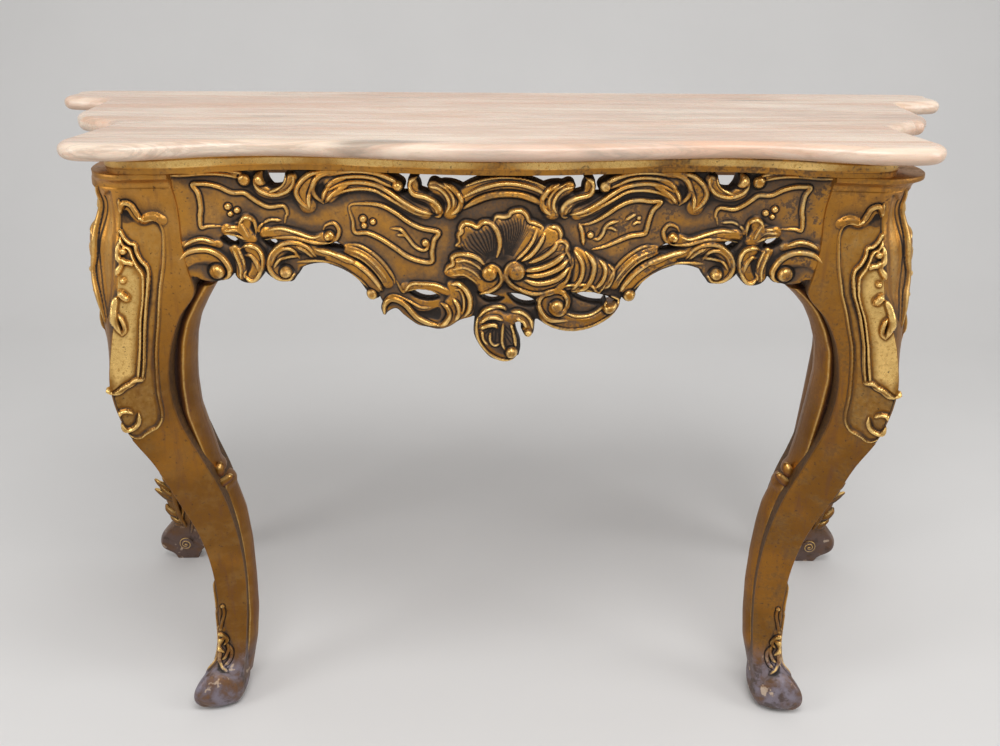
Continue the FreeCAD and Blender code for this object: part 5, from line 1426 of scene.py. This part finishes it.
def gilding_group():
    """Old bronze-gold over red bole, darkened by a brown wash, rubbed and speckled, with painted
    light and shade.
    """
    group, given, made = new_group(
        "Worn gilding",
        [("Gold", "c", None), ("Bright", "c", None), ("Bole", "c", None), ("Wash", "c", None),
         ("Ochre", "c", None), ("Scuff", "c", None), ("Sheen", "c", None),
         ("Hollow", "f", 0.0), ("Crest", "f", 0.0), ("Crevice", "f", 0.0), ("Foot", "f", 0.0),
         ("Grime", "f", 0.5), ("Rubbed", "f", 0.5)],
        [("Colour", "c"), ("Roughness", "f"), ("Leaf", "f"), ("Height", "f")])
    mix, maths, span, noise, stretched, at = tools_for(group)
    drift = noise(at, 9.0, 3.0, 0.5)
    cloud = noise(at, 34.0, 5.0, 0.6, 0.4)
    speck = noise(at, 240.0, 3.0, 0.6)
    streak = noise(stretched(at, 90.0, 90.0, 9.0), 1.0, 4.0, 0.6)
    chip = noise(at, 44.0, 3.0, 0.65)
    where = node(group, "SeparateXYZ", None, Vector=at).outputs

    # The gold is warmer in patches. Towards the top it is painted warmer as painted light from
    # above, and brighter still at the upper left.
    gold = mix(span(cloud, 0.42, 0.74, 0.0, 0.12), given["Gold"], given["Bright"])
    gold = mix(span(drift, 0.44, 0.62, 0.0, 0.7), gold, given["Ochre"])
    gold = mix(span(where["Z"], 0.48, 0.76, 0.0, 0.45), gold, given["Ochre"])
    painted_light_share = maths("MULTIPLY", span(where["Z"], 0.60, 0.74),
                    span(where["X"], -0.35, 0.40, 1.0, 0.6))
    gold = mix(painted_light_share, gold, mix(1.0, gold, PAINTED_LIGHT_GAIN, "MULTIPLY"))
    rub = maths("MULTIPLY", span(streak, 0.50, 0.72), given["Rubbed"])
    gold = mix(rub, gold, given["Bole"])

    # The wash lies in the hollows, partly as real wash and partly as painted shade. It also lies as
    # a thin mottled film of dirt, which is darker towards the right as painted shade.
    mottled = maths("MULTIPLY_ADD", cloud, 0.55, maths("MULTIPLY", speck, 0.45))
    # The film is painted thicker towards the right, as painted shade.
    grime_and_shade = maths("MULTIPLY", given["Grime"], span(where["X"], -0.25, 0.30, 0.6, 1.35))
    film = maths("MULTIPLY", span(mottled, 0.46, 0.60), grime_and_shade)
    deep = maths("MAXIMUM", maths("MULTIPLY", given["Hollow"], 0.93), film)
    wash = mix(span(speck, 0.35, 0.7), given["Wash"], mix(0.45, given["Wash"], given["Gold"]))
    gold = mix(deep, gold, wash)

    # The feet are scuffed and chipped, and the front feet get a painted lilac sheen.
    scuffed = maths("MULTIPLY", given["Foot"], span(cloud, 0.30, 0.52, 0.5, 0.95))
    sheen = mix(span(cloud, 0.40, 0.64), given["Scuff"], given["Sheen"])
    sheen = mix(span(chip, 0.60, 0.66, 0.0, 0.8), sheen, PALE_CHIP)
    sheen = mix(span(chip, 0.46, 0.34, 0.0, 0.7), sheen, DARK_CHIP)
    gold = mix(scuffed, gold, sheen)

    # Crevices are painted black as shade, crests get a painted highlight over rubbed gold, and pits
    # hold dirt.
    dark = mix(1.0, given["Wash"], CREVICE_SHADE, "MULTIPLY")
    gold = mix(maths("MULTIPLY", given["Crevice"], 0.92), gold, dark)
    crest_highlight = maths("MULTIPLY", given["Crest"], span(speck, 0.25, 0.5, 0.35, 0.95))
    gold = mix(crest_highlight, gold, given["Bright"])
    pits = span(speck, 0.62, 0.72)
    gold = mix(maths("MULTIPLY", pits, 0.7), gold, given["Wash"])

    rough = maths("MULTIPLY_ADD", deep, 0.32, 0.26)
    rough = maths("MULTIPLY_ADD", cloud, 0.20, rough)
    rough = maths("MULTIPLY_ADD", crest_highlight, -0.16, rough, clamp=True)
    leaf = maths("MULTIPLY_ADD", deep, -0.55, 0.82)
    leaf = maths("MULTIPLY_ADD", scuffed, -0.45, leaf)
    leaf = maths("MULTIPLY_ADD", rub, -0.35, leaf, clamp=True)
    tall = maths("MULTIPLY_ADD", speck, 0.35, maths("MULTIPLY", cloud, 0.65))
    tall = maths("MULTIPLY_ADD", pits, -0.3, tall)
    for label, value in (("Colour", gold), ("Roughness", rough), ("Leaf", leaf),
                         ("Height", tall)):
        feed(group, made[label], value)
    return group


# ---- materials
def new_material(name):
    """A material with its tree, and the tools for it."""
    material = bpy.data.materials.new(name)
    material.use_nodes = True
    return material, material.node_tree, tools_for(material.node_tree)


def finish_surface(material, colour, roughness, height, strength, distance, **constants):
    """The shader itself, with a bump from the height."""
    tree = material.node_tree
    bump = node(tree, "Bump", None, Height=height, Strength=strength, Distance=distance)
    values = {"Base Color": colour, "Roughness": roughness, "Normal": bump.outputs["Normal"]}
    values.update(constants)
    shader = tree.nodes["Principled BSDF"]
    for key, value in values.items():
        feed(tree, shader.inputs[key.replace("_", " ")], value)


def rgba(colour):
    """A colour from a setting, with full cover."""
    return (colour[0], colour[1], colour[2], 1.0)


_groups = {}


def shared(builder):
    """The node group that the builder makes, made only once."""
    if builder not in _groups:
        _groups[builder] = builder()
    return _groups[builder]


FOOT_TOP, FOOT_FULL = 0.105, 0.055       # the scuffing starts and is full at these heights


def gilded(name, own, grime_and_shade, rubbed, reach, wash=None, feet=None, ochre=None):
    """One gilded finish. Each carved piece has its own strength of the mottled film, which is
    partly painted shade, and its own share of wear.
    """
    material, tree, (_, _, span, _, _, at) = new_material(name)
    relief = node(tree, "Group", {"node_tree": shared(relief_group)}, Reach=reach).outputs
    coat = node(tree, "Group", {"node_tree": shared(gilding_group)}, Gold=rgba(own.gold),
                Bright=rgba(own.bright), Bole=rgba(own.bole), Wash=rgba(wash or own.wash),
                Scuff=rgba(own.foot), Ochre=rgba(ochre or own.ochre),
                Hollow=relief["Hollow"], Crest=relief["Crest"], Crevice=relief["Crevice"],
                Grime=grime_and_shade, Rubbed=rubbed)
    if feet:
        height = node(tree, "SeparateXYZ", None, Vector=at).outputs["Z"]
        feed(tree, coat.inputs["Sheen"], rgba(feet))
        feed(tree, coat.inputs["Foot"], span(height, FOOT_TOP, FOOT_FULL))
    layer = coat.outputs
    finish_surface(material, layer["Colour"], layer["Roughness"], layer["Height"], 0.6, 0.0012,
                   Metallic=layer["Leaf"])
    return material


# Grey clouds in the slab, as (x, y, half length, half width, share) in metres.
GREY_CLOUDS = [(-0.134, -0.212, 0.080, 0.020, 0.9), (-0.03, -0.240, 0.11, 0.010, 0.75),
               (-0.31, -0.02, 0.045, 0.012, 0.5), (-0.40, 0.076, 0.032, 0.005, 0.85),
               (0.55, 0.0, 0.07, 0.03, 0.4)]


def marble_finish(own):
    """Cream and rose marble with cloudy peach patches and long grey streaks."""
    material, tree, (mix, maths, span, noise, stretched, at) = new_material("polished_marble")
    bend = noise(at, 3.2, 3.0, 0.5)
    patch = noise(stretched(at, 2.0, 9.0, 9.0), 1.3, 5.0, 0.62, 0.6)
    blush = noise(stretched(at, 2.0, 16.0, 16.0), 1.2, 5.0, 0.62, 0.8)
    vein = noise(stretched(at, 1.6, 22.0, 22.0), 1.4, 6.0, 0.65, 1.2)
    fine = noise(stretched(at, 7.0, 110.0, 110.0), 1.0, 5.0, 0.6, 0.5)
    grain = noise(at, 420.0, 3.0, 0.7)
    grey, tan = rgba(own.vein), rgba(own.streak)
    base = mix(span(patch, 0.36, 0.64), rgba(own.cream), rgba(own.rose))
    base = mix(span(blush, 0.46, 0.62, 0.0, 0.8), base, rgba(own.peach))

    # Threads lie along the middle of the vein noise, clouds where it is high.
    edge = maths("ABSOLUTE", maths("SUBTRACT", vein, 0.5))
    thread = span(edge, 0.0, 0.05, 0.34, 0.0)
    base = mix(maths("MULTIPLY", thread, span(bend, 0.42, 0.60)), base, grey)
    cloudy = maths("MULTIPLY", span(vein, 0.54, 0.70), span(bend, 0.40, 0.60))
    base = mix(maths("MULTIPLY", cloudy, 0.85), base, grey)
    clouds = 0.0
    for x, y, long, wide, share in GREY_CLOUDS:
        off = node(tree, "Mapping", None, Vector=at, Location=(-x / long, -y / wide, 0.0),
                   Scale=(1 / long, 1 / wide, 0.0)).outputs["Vector"]
        reach = node(tree, "VectorMath", {"operation": "LENGTH"}, Vector=off).outputs["Value"]
        ragged = maths("MULTIPLY_ADD", vein, 2.2, maths("SUBTRACT", reach, 1.1))
        clouds = maths("MAXIMUM", span(ragged, 0.35, 1.0, share, 0.0), clouds)
    base = mix(maths("MULTIPLY", clouds, span(fine, 0.35, 0.62, 0.35, 1.0)), base, grey)
    base = mix(span(fine, 0.46, 0.68, 0.0, 0.42), base, tan)
    base = mix(span(grain, 0.58, 0.74, 0.0, 0.22), base, grey)

    # The lower half of the edge is painted darker and tanner, as painted shade.
    level = node(tree, "SeparateXYZ", None, Vector=at).outputs["Z"]
    painted_shade_below = span(level, SLAB_LOW * MM, EDGE_MIDDLE * MM, 0.75, 0.0)
    base = mix(maths("MULTIPLY", painted_shade_below, span(patch, 0.30, 0.60, 0.6, 1.0)), base, tan)
    rough = maths("MULTIPLY_ADD", fine, 0.20, maths("MULTIPLY_ADD", patch, 0.12, 0.12))
    finish_surface(material, base, rough, maths("MULTIPLY_ADD", grain, 0.2, fine), 0.18, 0.0006,
                   Subsurface_Weight=0.04, Specular_IOR_Level=0.5)
    return material


def bare_wood(own):
    """Unfinished softwood of the hidden rails and blocks, dark with age."""
    material, _, (mix, maths, span, noise, stretched, at) = new_material("bare_wood")
    wide = noise(stretched(at, 4.0, 46.0, 46.0), 1.0, 4.0, 0.55, 0.8)
    hair = noise(stretched(at, 14.0, 420.0, 420.0), 1.0, 3.0, 0.6)
    stain = noise(at, 7.0, 4.0, 0.6)
    dark = rgba(own.dark_wood)
    base = mix(span(wide, 0.36, 0.64, 0.1, 0.75), rgba(own.pale_wood), dark)
    base = mix(span(hair, 0.42, 0.70, 0.0, 0.4), base, dark)
    base = mix(span(stain, 0.48, 0.72, 0.0, 0.5), base, rgba(own.dust))
    finish_surface(material, base, maths("MULTIPLY_ADD", hair, 0.2, 0.68),
                   maths("MULTIPLY_ADD", hair, 0.5, wide), 0.5, 0.0008)
    return material


def floor_finish(own):
    """Plain pale floor and backdrop in one, very slightly uneven."""
    material, _, (mix, maths, span, noise, _, at) = new_material("pale_floor")
    soft = noise(at, 1.6, 3.0, 0.5)
    pale, dull = own.floor_colour, [c * 0.97 for c in own.floor_colour]
    finish_surface(material, mix(span(soft, 0.3, 0.7), rgba(pale), rgba(dull)),
                   maths("MULTIPLY_ADD", soft, 0.1, 0.75), soft, 0.05, 0.001)
    return material


# ---- settings
def colour(label, note, default):
    """A colour that a user may change."""
    return bpy.props.FloatVectorProperty(name=label, description=note, subtype="COLOR",
                                         size=3, min=0.0, max=1.0, default=default)


class SlabSettings(bpy.types.PropertyGroup):
    edge_round: bpy.props.FloatProperty(
        name="Edge rounding", description="Radius of the rounded edge of the slab",
        default=0.0092, min=0.004, max=0.0098, unit="LENGTH")
    cream: colour("Cream", "Palest ground of the marble", (0.84, 0.68, 0.54))
    rose: colour("Rose", "Pinkish ground of the marble", (0.70, 0.505, 0.39))
    peach: colour("Peach", "Warm patches in the marble", (0.72, 0.46, 0.32))
    vein: colour("Vein", "Grey streaks in the marble", (0.30, 0.255, 0.21))
    streak: colour("Streak", "Fine tan lines along the slab", (0.50, 0.33, 0.22))


class GildingSettings(bpy.types.PropertyGroup):
    gold: colour("Gold", "Body colour of the gilding", (0.215, 0.089, 0.0118))
    # Bright gold also paints the highlights on the crests.
    bright: colour("Bright gold", "Rubbed highlights", (0.92, 0.60, 0.20))
    # Ochre and glowing gold also paint light from above, towards the top of each piece.
    ochre: colour("Ochre gold", "Orange patches in the gilding", (0.36, 0.15, 0.018))
    glow: colour("Glowing gold", "Orange patches on the front apron", (0.44, 0.19, 0.024))
    bole: colour("Bole", "Red-brown ground that shows through", (0.13, 0.042, 0.018))
    foot: colour("Feet", "Scuffed purple-brown of the feet", (0.125, 0.078, 0.066))
    # Foot sheen paints a lilac sheen on the front feet.
    sheen: colour("Foot sheen", "Lilac bloom on the scuffed front feet", (0.20, 0.175, 0.215))
    # The washes also darken the hollows and crevices as painted shade.
    wash: colour("Wash", "Brown wash in the hollows", (0.050, 0.028, 0.014))
    grey_wash: colour("Grey wash", "Grey wash on the carved aprons", (0.062, 0.047, 0.038))


class CarvingSettings(bpy.types.PropertyGroup):
    cell: bpy.props.FloatProperty(
        name="Fineness", description="Spacing of the points that form the carved faces",
        default=0.0010, min=0.0008, max=0.004, unit="LENGTH")
    ground: bpy.props.FloatProperty(
        name="Ground", description="How far the ground is cut back behind the scrolls",
        default=0.0025, min=0.0, max=0.006, unit="LENGTH")
    soften: bpy.props.FloatProperty(
        name="Edge softening", description="Rounding of the fretted edges",
        default=0.0045, min=0.001, max=0.008, unit="LENGTH")


class WoodSettings(bpy.types.PropertyGroup):
    pale_wood: colour("Pale wood", "Early growth of the bare wood", (0.33, 0.19, 0.09))
    dark_wood: colour("Dark wood", "Late growth of the bare wood", (0.17, 0.085, 0.036))
    dust: colour("Dust", "Dust and stains on the bare wood", (0.20, 0.16, 0.12))


class StudioSettings(bpy.types.PropertyGroup):
    floor_colour: colour("Floor", "Colour of the floor and backdrop", (0.72, 0.71, 0.70))
    key: bpy.props.FloatProperty(
        name="Key lamp", description="Power of the large soft lamp above the camera",
        default=41.5, min=0.0, max=400.0, unit="POWER")
    fill: bpy.props.FloatProperty(
        name="Side lamps", description="Power of each soft lamp at the sides",
        default=15.0, min=0.0, max=400.0, unit="POWER")
    sky: bpy.props.FloatProperty(
        name="Room light", description="Strength of the even light from all round",
        default=0.56, min=0.0, max=2.0)


def settings():
    """The table's settings in the open scene."""
    return bpy.context.scene.pier_table


class PierTableSettings(bpy.types.PropertyGroup):
    slab: bpy.props.PointerProperty(
        type=SlabSettings, name="Slab", description="Edge and colours of the marble slab")
    gilding: bpy.props.PointerProperty(
        type=GildingSettings, name="Gilding", description="Colours of the gilding and its wear")
    carving: bpy.props.PointerProperty(
        type=CarvingSettings, name="Carving", description="Fineness and depth of the carved boards")
    wood: bpy.props.PointerProperty(
        type=WoodSettings, name="Bare wood", description="Colours of the hidden wooden parts")
    studio: bpy.props.PointerProperty(
        type=StudioSettings, name="Studio", description="Floor and lamps")


# ---- pieces
def gilded_piece(name, shape, finish, stands_for=None, mirrored=False):
    """A gilded piece, which may stand for one of the frame's nodes."""
    verts, faces, hollow = shape
    if mirrored:
        verts, faces = mirror_piece(verts, faces)
    piece = add_piece(name, verts, faces, finish, hollow)
    if stands_for:
        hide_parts(stands_for)


def refinish(part, finish):
    """A better material on a node that is shown as it is."""
    for slot in part.material_slots:
        slot.material = finish


def front_carving():
    """Every carved item of the front apron; most of the right half mirrors the left."""
    mirror = [(kind, width, height, [(-x, z) for x, z in points])
              for kind, width, height, points in APRON_LEFT if points[0] not in LEFT_ONLY]
    items = (APRON_AREAS + STAINED + APRON_LEFT + mirror + RIGHT_PANEL + APRON_CREST
             + APRON_SHELL + shell_cuts())
    for x, z, r in SIDE_BEADS:
        items += [("b", r, r, [(x, z)]), ("b", r, r, [(-x, z)])]
    return items + [("b", r, r, [(x, z)]) for x, z, r in MIDDLE_BEADS + LEFT_BEADS]


def front_apron_shape(own):
    """The serpentine board between the front posts."""
    def to_space(x, z, depth):
        return place(x, face_depth(x) + depth, z)

    edge = (BOARD_LEFT + PENDANT + BOARD_RIGHT + flip(BOARD_LEFT[:-LEFT_MIDDLE])
            + flip(CREST_LEFT) + CREST_TOP + CREST_LEFT)
    holes = PIERCINGS + [flip(h) for h in PIERCINGS[:BOTH_PIERCED]] + CENTRE_PIERCINGS
    return fretted_board(edge, holes, front_carving(), (-POST_X, POST_X), (APRON_LOW, RAIL_LOW),
                         own.cell / MM, to_space, own.ground / MM, own.soften / MM)


def side_apron_shape(own):
    """The right-hand board between a front and a rear post."""
    line = rounded(SIDE_FACE, FINE_STEP)

    def to_space(along, z, depth):
        return place(np.interp(along, line[:, 1], line[:, 0]) - depth, along, z)

    return fretted_board(SIDE_PROFILE, [], SIDE_APRON, (POST_BACK, REAR_FRONT),
                         (SIDE_LOW, RAIL_LOW), SIDE_CELL, to_space, SIDE_GROUND,
                         own.soften / MM)


# ---- operators
class PIERTABLE_OT_slab(bpy.types.Operator):
    """Builds the marble slab with its rounded edge"""
    bl_idname = "piertable.slab"
    bl_label = "Marble slab"

    def execute(self, context):
        own = settings().slab
        slab = add_piece("marble_slab", *slab_mesh(own.edge_round / MM), marble_finish(own))
        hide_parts("marble_top")
        return {"FINISHED"}


class PIERTABLE_OT_rails(bpy.types.Operator):
    """Finishes the top rails and adds their moulded lip"""
    bl_idname = "piertable.rails"
    bl_label = "Top rails"

    def execute(self, context):
        finish = gilded("rail_gilding", settings().gilding, grime_and_shade=0.65, rubbed=0.25, reach=0.8)
        gilded_piece("top_rail_moulding", rail_moulding(), finish)
        for name in ("top_rail_front", "top_rail_right", "top_rail_left"):
            refinish(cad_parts[name], finish)
        return {"FINISHED"}


class PIERTABLE_OT_front_apron(bpy.types.Operator):
    """Carves the pierced front apron with its shell and pendant"""
    bl_idname = "piertable.front_apron"
    bl_label = "Front apron"

    def execute(self, context):
        own = settings().gilding
        finish = gilded("apron_gilding", own, grime_and_shade=0.85, rubbed=0.25, reach=0.8,
                        wash=own.grey_wash, ochre=own.glow)
        gilded_piece("carved_front_apron", front_apron_shape(settings().carving), finish,
                     "front_apron")
        return {"FINISHED"}


class PIERTABLE_OT_side_aprons(bpy.types.Operator):
    """Carves the two serpentine side aprons"""
    bl_idname = "piertable.side_aprons"
    bl_label = "Side aprons"

    def execute(self, context):
        own = settings().gilding
        finish = gilded("side_gilding", own, grime_and_shade=0.6, rubbed=0.3, reach=1.0,
                        wash=own.grey_wash)
        shape = side_apron_shape(settings().carving)
        for side in ("right", "left"):
            gilded_piece("carved_side_apron_" + side, shape, finish, "side_apron_" + side,
                         mirrored=side == "left")
        return {"FINISHED"}


class PIERTABLE_OT_front_legs(bpy.types.Operator):
    """Shapes and carves the two front legs"""
    bl_idname = "piertable.front_legs"
    bl_label = "Front legs"

    def execute(self, context):
        own = settings().gilding
        finish = gilded("leg_gilding", own, grime_and_shade=0.35, rubbed=0.45, reach=0.9, feet=own.sheen)
        for side, cap, lean in (("right", RIGHT_CAP, LEAN), ("left", LEFT_CAP, None)):
            surface = leg_surface(FRONT_LEG, cap, FRONT_COUNTS, FRONT_STEP, FACE_CARVING + ANKLE,
                                  SIDE_CARVING + ANKLE_SIDE, lean, BALL_TOP)
            gilded_piece("cabriole_leg_front_" + side, skin(*surface), finish,
                         "front_leg_" + side, mirrored=side == "left")
        return {"FINISHED"}


class PIERTABLE_OT_rear_legs(bpy.types.Operator):
    """Shapes and carves the two rear legs, their scroll toes and their leaves"""
    bl_idname = "piertable.rear_legs"
    bl_label = "Rear legs"

    def execute(self, context):
        own = settings().gilding
        finish = gilded("rear_leg_gilding", own, grime_and_shade=0.6, rubbed=0.45, reach=0.9, feet=own.foot)
        leafy = gilded("leaf_gilding", own, grime_and_shade=0.85, rubbed=0.3, reach=0.9,
                       wash=own.grey_wash)
        for side, lean in (("right", REAR_LEAN), ("left", None)):
            surface = leg_surface(REAR_LEG, REAR_CAP, REAR_COUNTS, REAR_STEP, REAR_FACE, [], lean)
            shift = np.interp(TOE_Z, *zip(*lean)) if lean else 0.0
            for name, shape, coat in (("cabriole_leg_rear_", skin(*surface), finish),
                                      ("toe_scroll_", toe_scroll(shift), finish),
                                      ("leaf_sheath_", ropes(LEAF_SHEATH), leafy)):
                gilded_piece(name + side, shape, coat, "rear_leg_" + side,
                             mirrored=side == "left")
        return {"FINISHED"}


class PIERTABLE_OT_leg_ribs(bpy.types.Operator):
    """Builds the rolled strips along the inner edges of the legs"""
    bl_idname = "piertable.leg_ribs"
    bl_label = "Leg ribs"

    def execute(self, context):
        own = settings().gilding
        finish = gilded("rib_gilding", own, grime_and_shade=0.35, rubbed=0.6, reach=0.9, wash=own.bole,
                        feet=own.foot)
        for label, rows, top, low in RIBS:
            sink = REAR_SINK if label.startswith("rear") else 0.0
            if label == "rear_right":
                rows = [(z, x + np.interp(z, *zip(*REAR_LEAN)), y0, y1) for z, x, y0, y1 in rows]
            verts, faces, hollow = skin(*rib_surface(rows, top, low, sink))
            shape = verts, [f[::-1] for f in faces], hollow
            gilded_piece("rib_" + label, shape, finish, "scroll_" + label,
                         mirrored=label.endswith("left"))
        for side, strands in KNUCKLES.items():
            gilded_piece("knuckle_rolls_" + side, ropes(strands), finish,
                         "scroll_lower_front_" + side, mirrored=side == "left")
        return {"FINISHED"}


class PIERTABLE_OT_bare_wood(bpy.types.Operator):
    """Finishes the hidden rails, bearers and glue blocks"""
    bl_idname = "piertable.bare_wood"
    bl_label = "Bare wood parts"

    def execute(self, context):
        finish = bare_wood(settings().wood)
        for name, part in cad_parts.items():
            if name.startswith(("top_rail_back", "marble_bearer", "back_rail", "corner_block")):
                refinish(part, finish)
        return {"FINISHED"}


class PIERTABLE_OT_studio(bpy.types.Operator):
    """Sets up the floor, the lamps and the camera"""
    bl_idname = "piertable.studio"
    bl_label = "Studio"

    def execute(self, context):
        own = settings().studio
        scene = context.scene
        build_floor(own)
        build_lamps(own, scene)
        build_camera(scene)
        return {"FINISHED"}


# ---- studio
FOCAL, SENSOR = 34.56, 36.0
EYE = (0.0, -1.3347, 1.05)
PITCH, ROLL, SHIFT = 23.1349, 0.0052, -0.0005
FLOOR_COLUMNS, BEND_STEPS = 9, 24


def build_floor(own):
    """A floor that sweeps up behind the table into the backdrop."""
    half, front, back, bend, tall = 9.0, -4.0, 2.6, 1.2, 4.5
    profile = [(front, 0.0)]
    for t in np.radians(90 * np.arange(BEND_STEPS + 1) / BEND_STEPS):
        profile.append((back - bend + bend * math.sin(t), bend - bend * math.cos(t)))
    profile.append((back, tall))
    verts = [(x, y, z) for y, z in profile for x in np.linspace(-half, half, FLOOR_COLUMNS)]
    faces = grid_faces(len(profile), FLOOR_COLUMNS)
    new_object("studio_floor", verts, faces, floor_finish(own))


def lamp(name, power, size, at, target):
    """A soft rectangular lamp that faces its target."""
    data = bpy.data.lights.new(name, "AREA")
    data.energy = power
    data.shape = "RECTANGLE"
    data.size, data.size_y = size
    made = bpy.data.objects.new(name, data)
    bpy.context.scene.collection.objects.link(made)
    made.location = at
    made.rotation_euler = (Vector(target) - Vector(at)).to_track_quat("-Z", "Y").to_euler()


def build_lamps(own, scene):
    """One large lamp above, one at each side, and even light from the room."""
    lamp("key_lamp", own.key, (1.8, 1.2), (0.25, -1.3, 2.9), (0.0, 0.0, 0.4))
    lamp("left_lamp", own.fill, (1.0, 1.6), (-2.4, -1.2, 1.6), (0.0, 0.0, 0.5))
    lamp("right_lamp", own.fill, (1.0, 1.6), (2.4, -0.8, 1.6), (0.0, 0.0, 0.5))
    world = bpy.data.worlds.new("room")
    world.use_nodes = True
    light = world.node_tree.nodes["Background"].inputs
    light["Strength"].default_value = own.sky
    light["Color"].default_value = (1, 1, 1, 1)
    scene.world = world
    scene.view_settings.view_transform = "Standard"


def build_camera(scene):
    """A camera in front of the table that looks down on it a little."""
    data = bpy.data.cameras.new("camera")
    data.lens, data.sensor_width, data.sensor_fit = FOCAL, SENSOR, "HORIZONTAL"
    data.shift_x = SHIFT
    data.dof.use_dof = False
    made = bpy.data.objects.new("camera", data)
    scene.collection.objects.link(made)
    made.matrix_world = (Matrix.Translation(EYE)
                         @ Matrix.Rotation(math.radians(90 - PITCH), 4, "X")
                         @ Matrix.Rotation(ROLL, 4, "Z"))
    scene.camera = made


# ---- panel
STEPS = (PIERTABLE_OT_studio, PIERTABLE_OT_slab, PIERTABLE_OT_rails, PIERTABLE_OT_front_apron,
         PIERTABLE_OT_side_aprons, PIERTABLE_OT_front_legs, PIERTABLE_OT_rear_legs,
         PIERTABLE_OT_leg_ribs, PIERTABLE_OT_bare_wood)


class PIERTABLE_PT_panel(bpy.types.Panel):
    """Lists the table's settings and the steps that build it"""
    bl_idname = "PIERTABLE_PT_panel"
    bl_label = "Pier table"
    bl_space_type = "VIEW_3D"
    bl_region_type = "UI"
    bl_category = "Pier table"

    def draw(self, context):
        own = settings()
        for part in (own.slab, own.gilding, own.carving, own.wood, own.studio):
            column = self.layout.column()
            for key in part.__annotations__:
                column.prop(part, key)
        for step in STEPS:
            self.layout.operator(step.bl_idname)


CLASSES = (SlabSettings, GildingSettings, CarvingSettings, WoodSettings, StudioSettings,
           PierTableSettings) + STEPS + (PIERTABLE_PT_panel,)


def register():
    """Adds the classes and the scene's settings."""
    for cls in CLASSES:
        bpy.utils.register_class(cls)
    bpy.types.Scene.pier_table = bpy.props.PointerProperty(type=PierTableSettings)


def unregister():
    """Takes them away again."""
    del bpy.types.Scene.pier_table
    for cls in reversed(CLASSES):
        bpy.utils.unregister_class(cls)


def main():
    """Builds the table piece by piece."""
    register()
    bpy.ops.piertable.studio()
    bpy.ops.piertable.slab()
    bpy.ops.piertable.rails()
    bpy.ops.piertable.front_apron()
    bpy.ops.piertable.side_aprons()
    bpy.ops.piertable.front_legs()
    bpy.ops.piertable.rear_legs()
    bpy.ops.piertable.leg_ribs()
    bpy.ops.piertable.bare_wood()


if __name__ == "__main__":
    main()
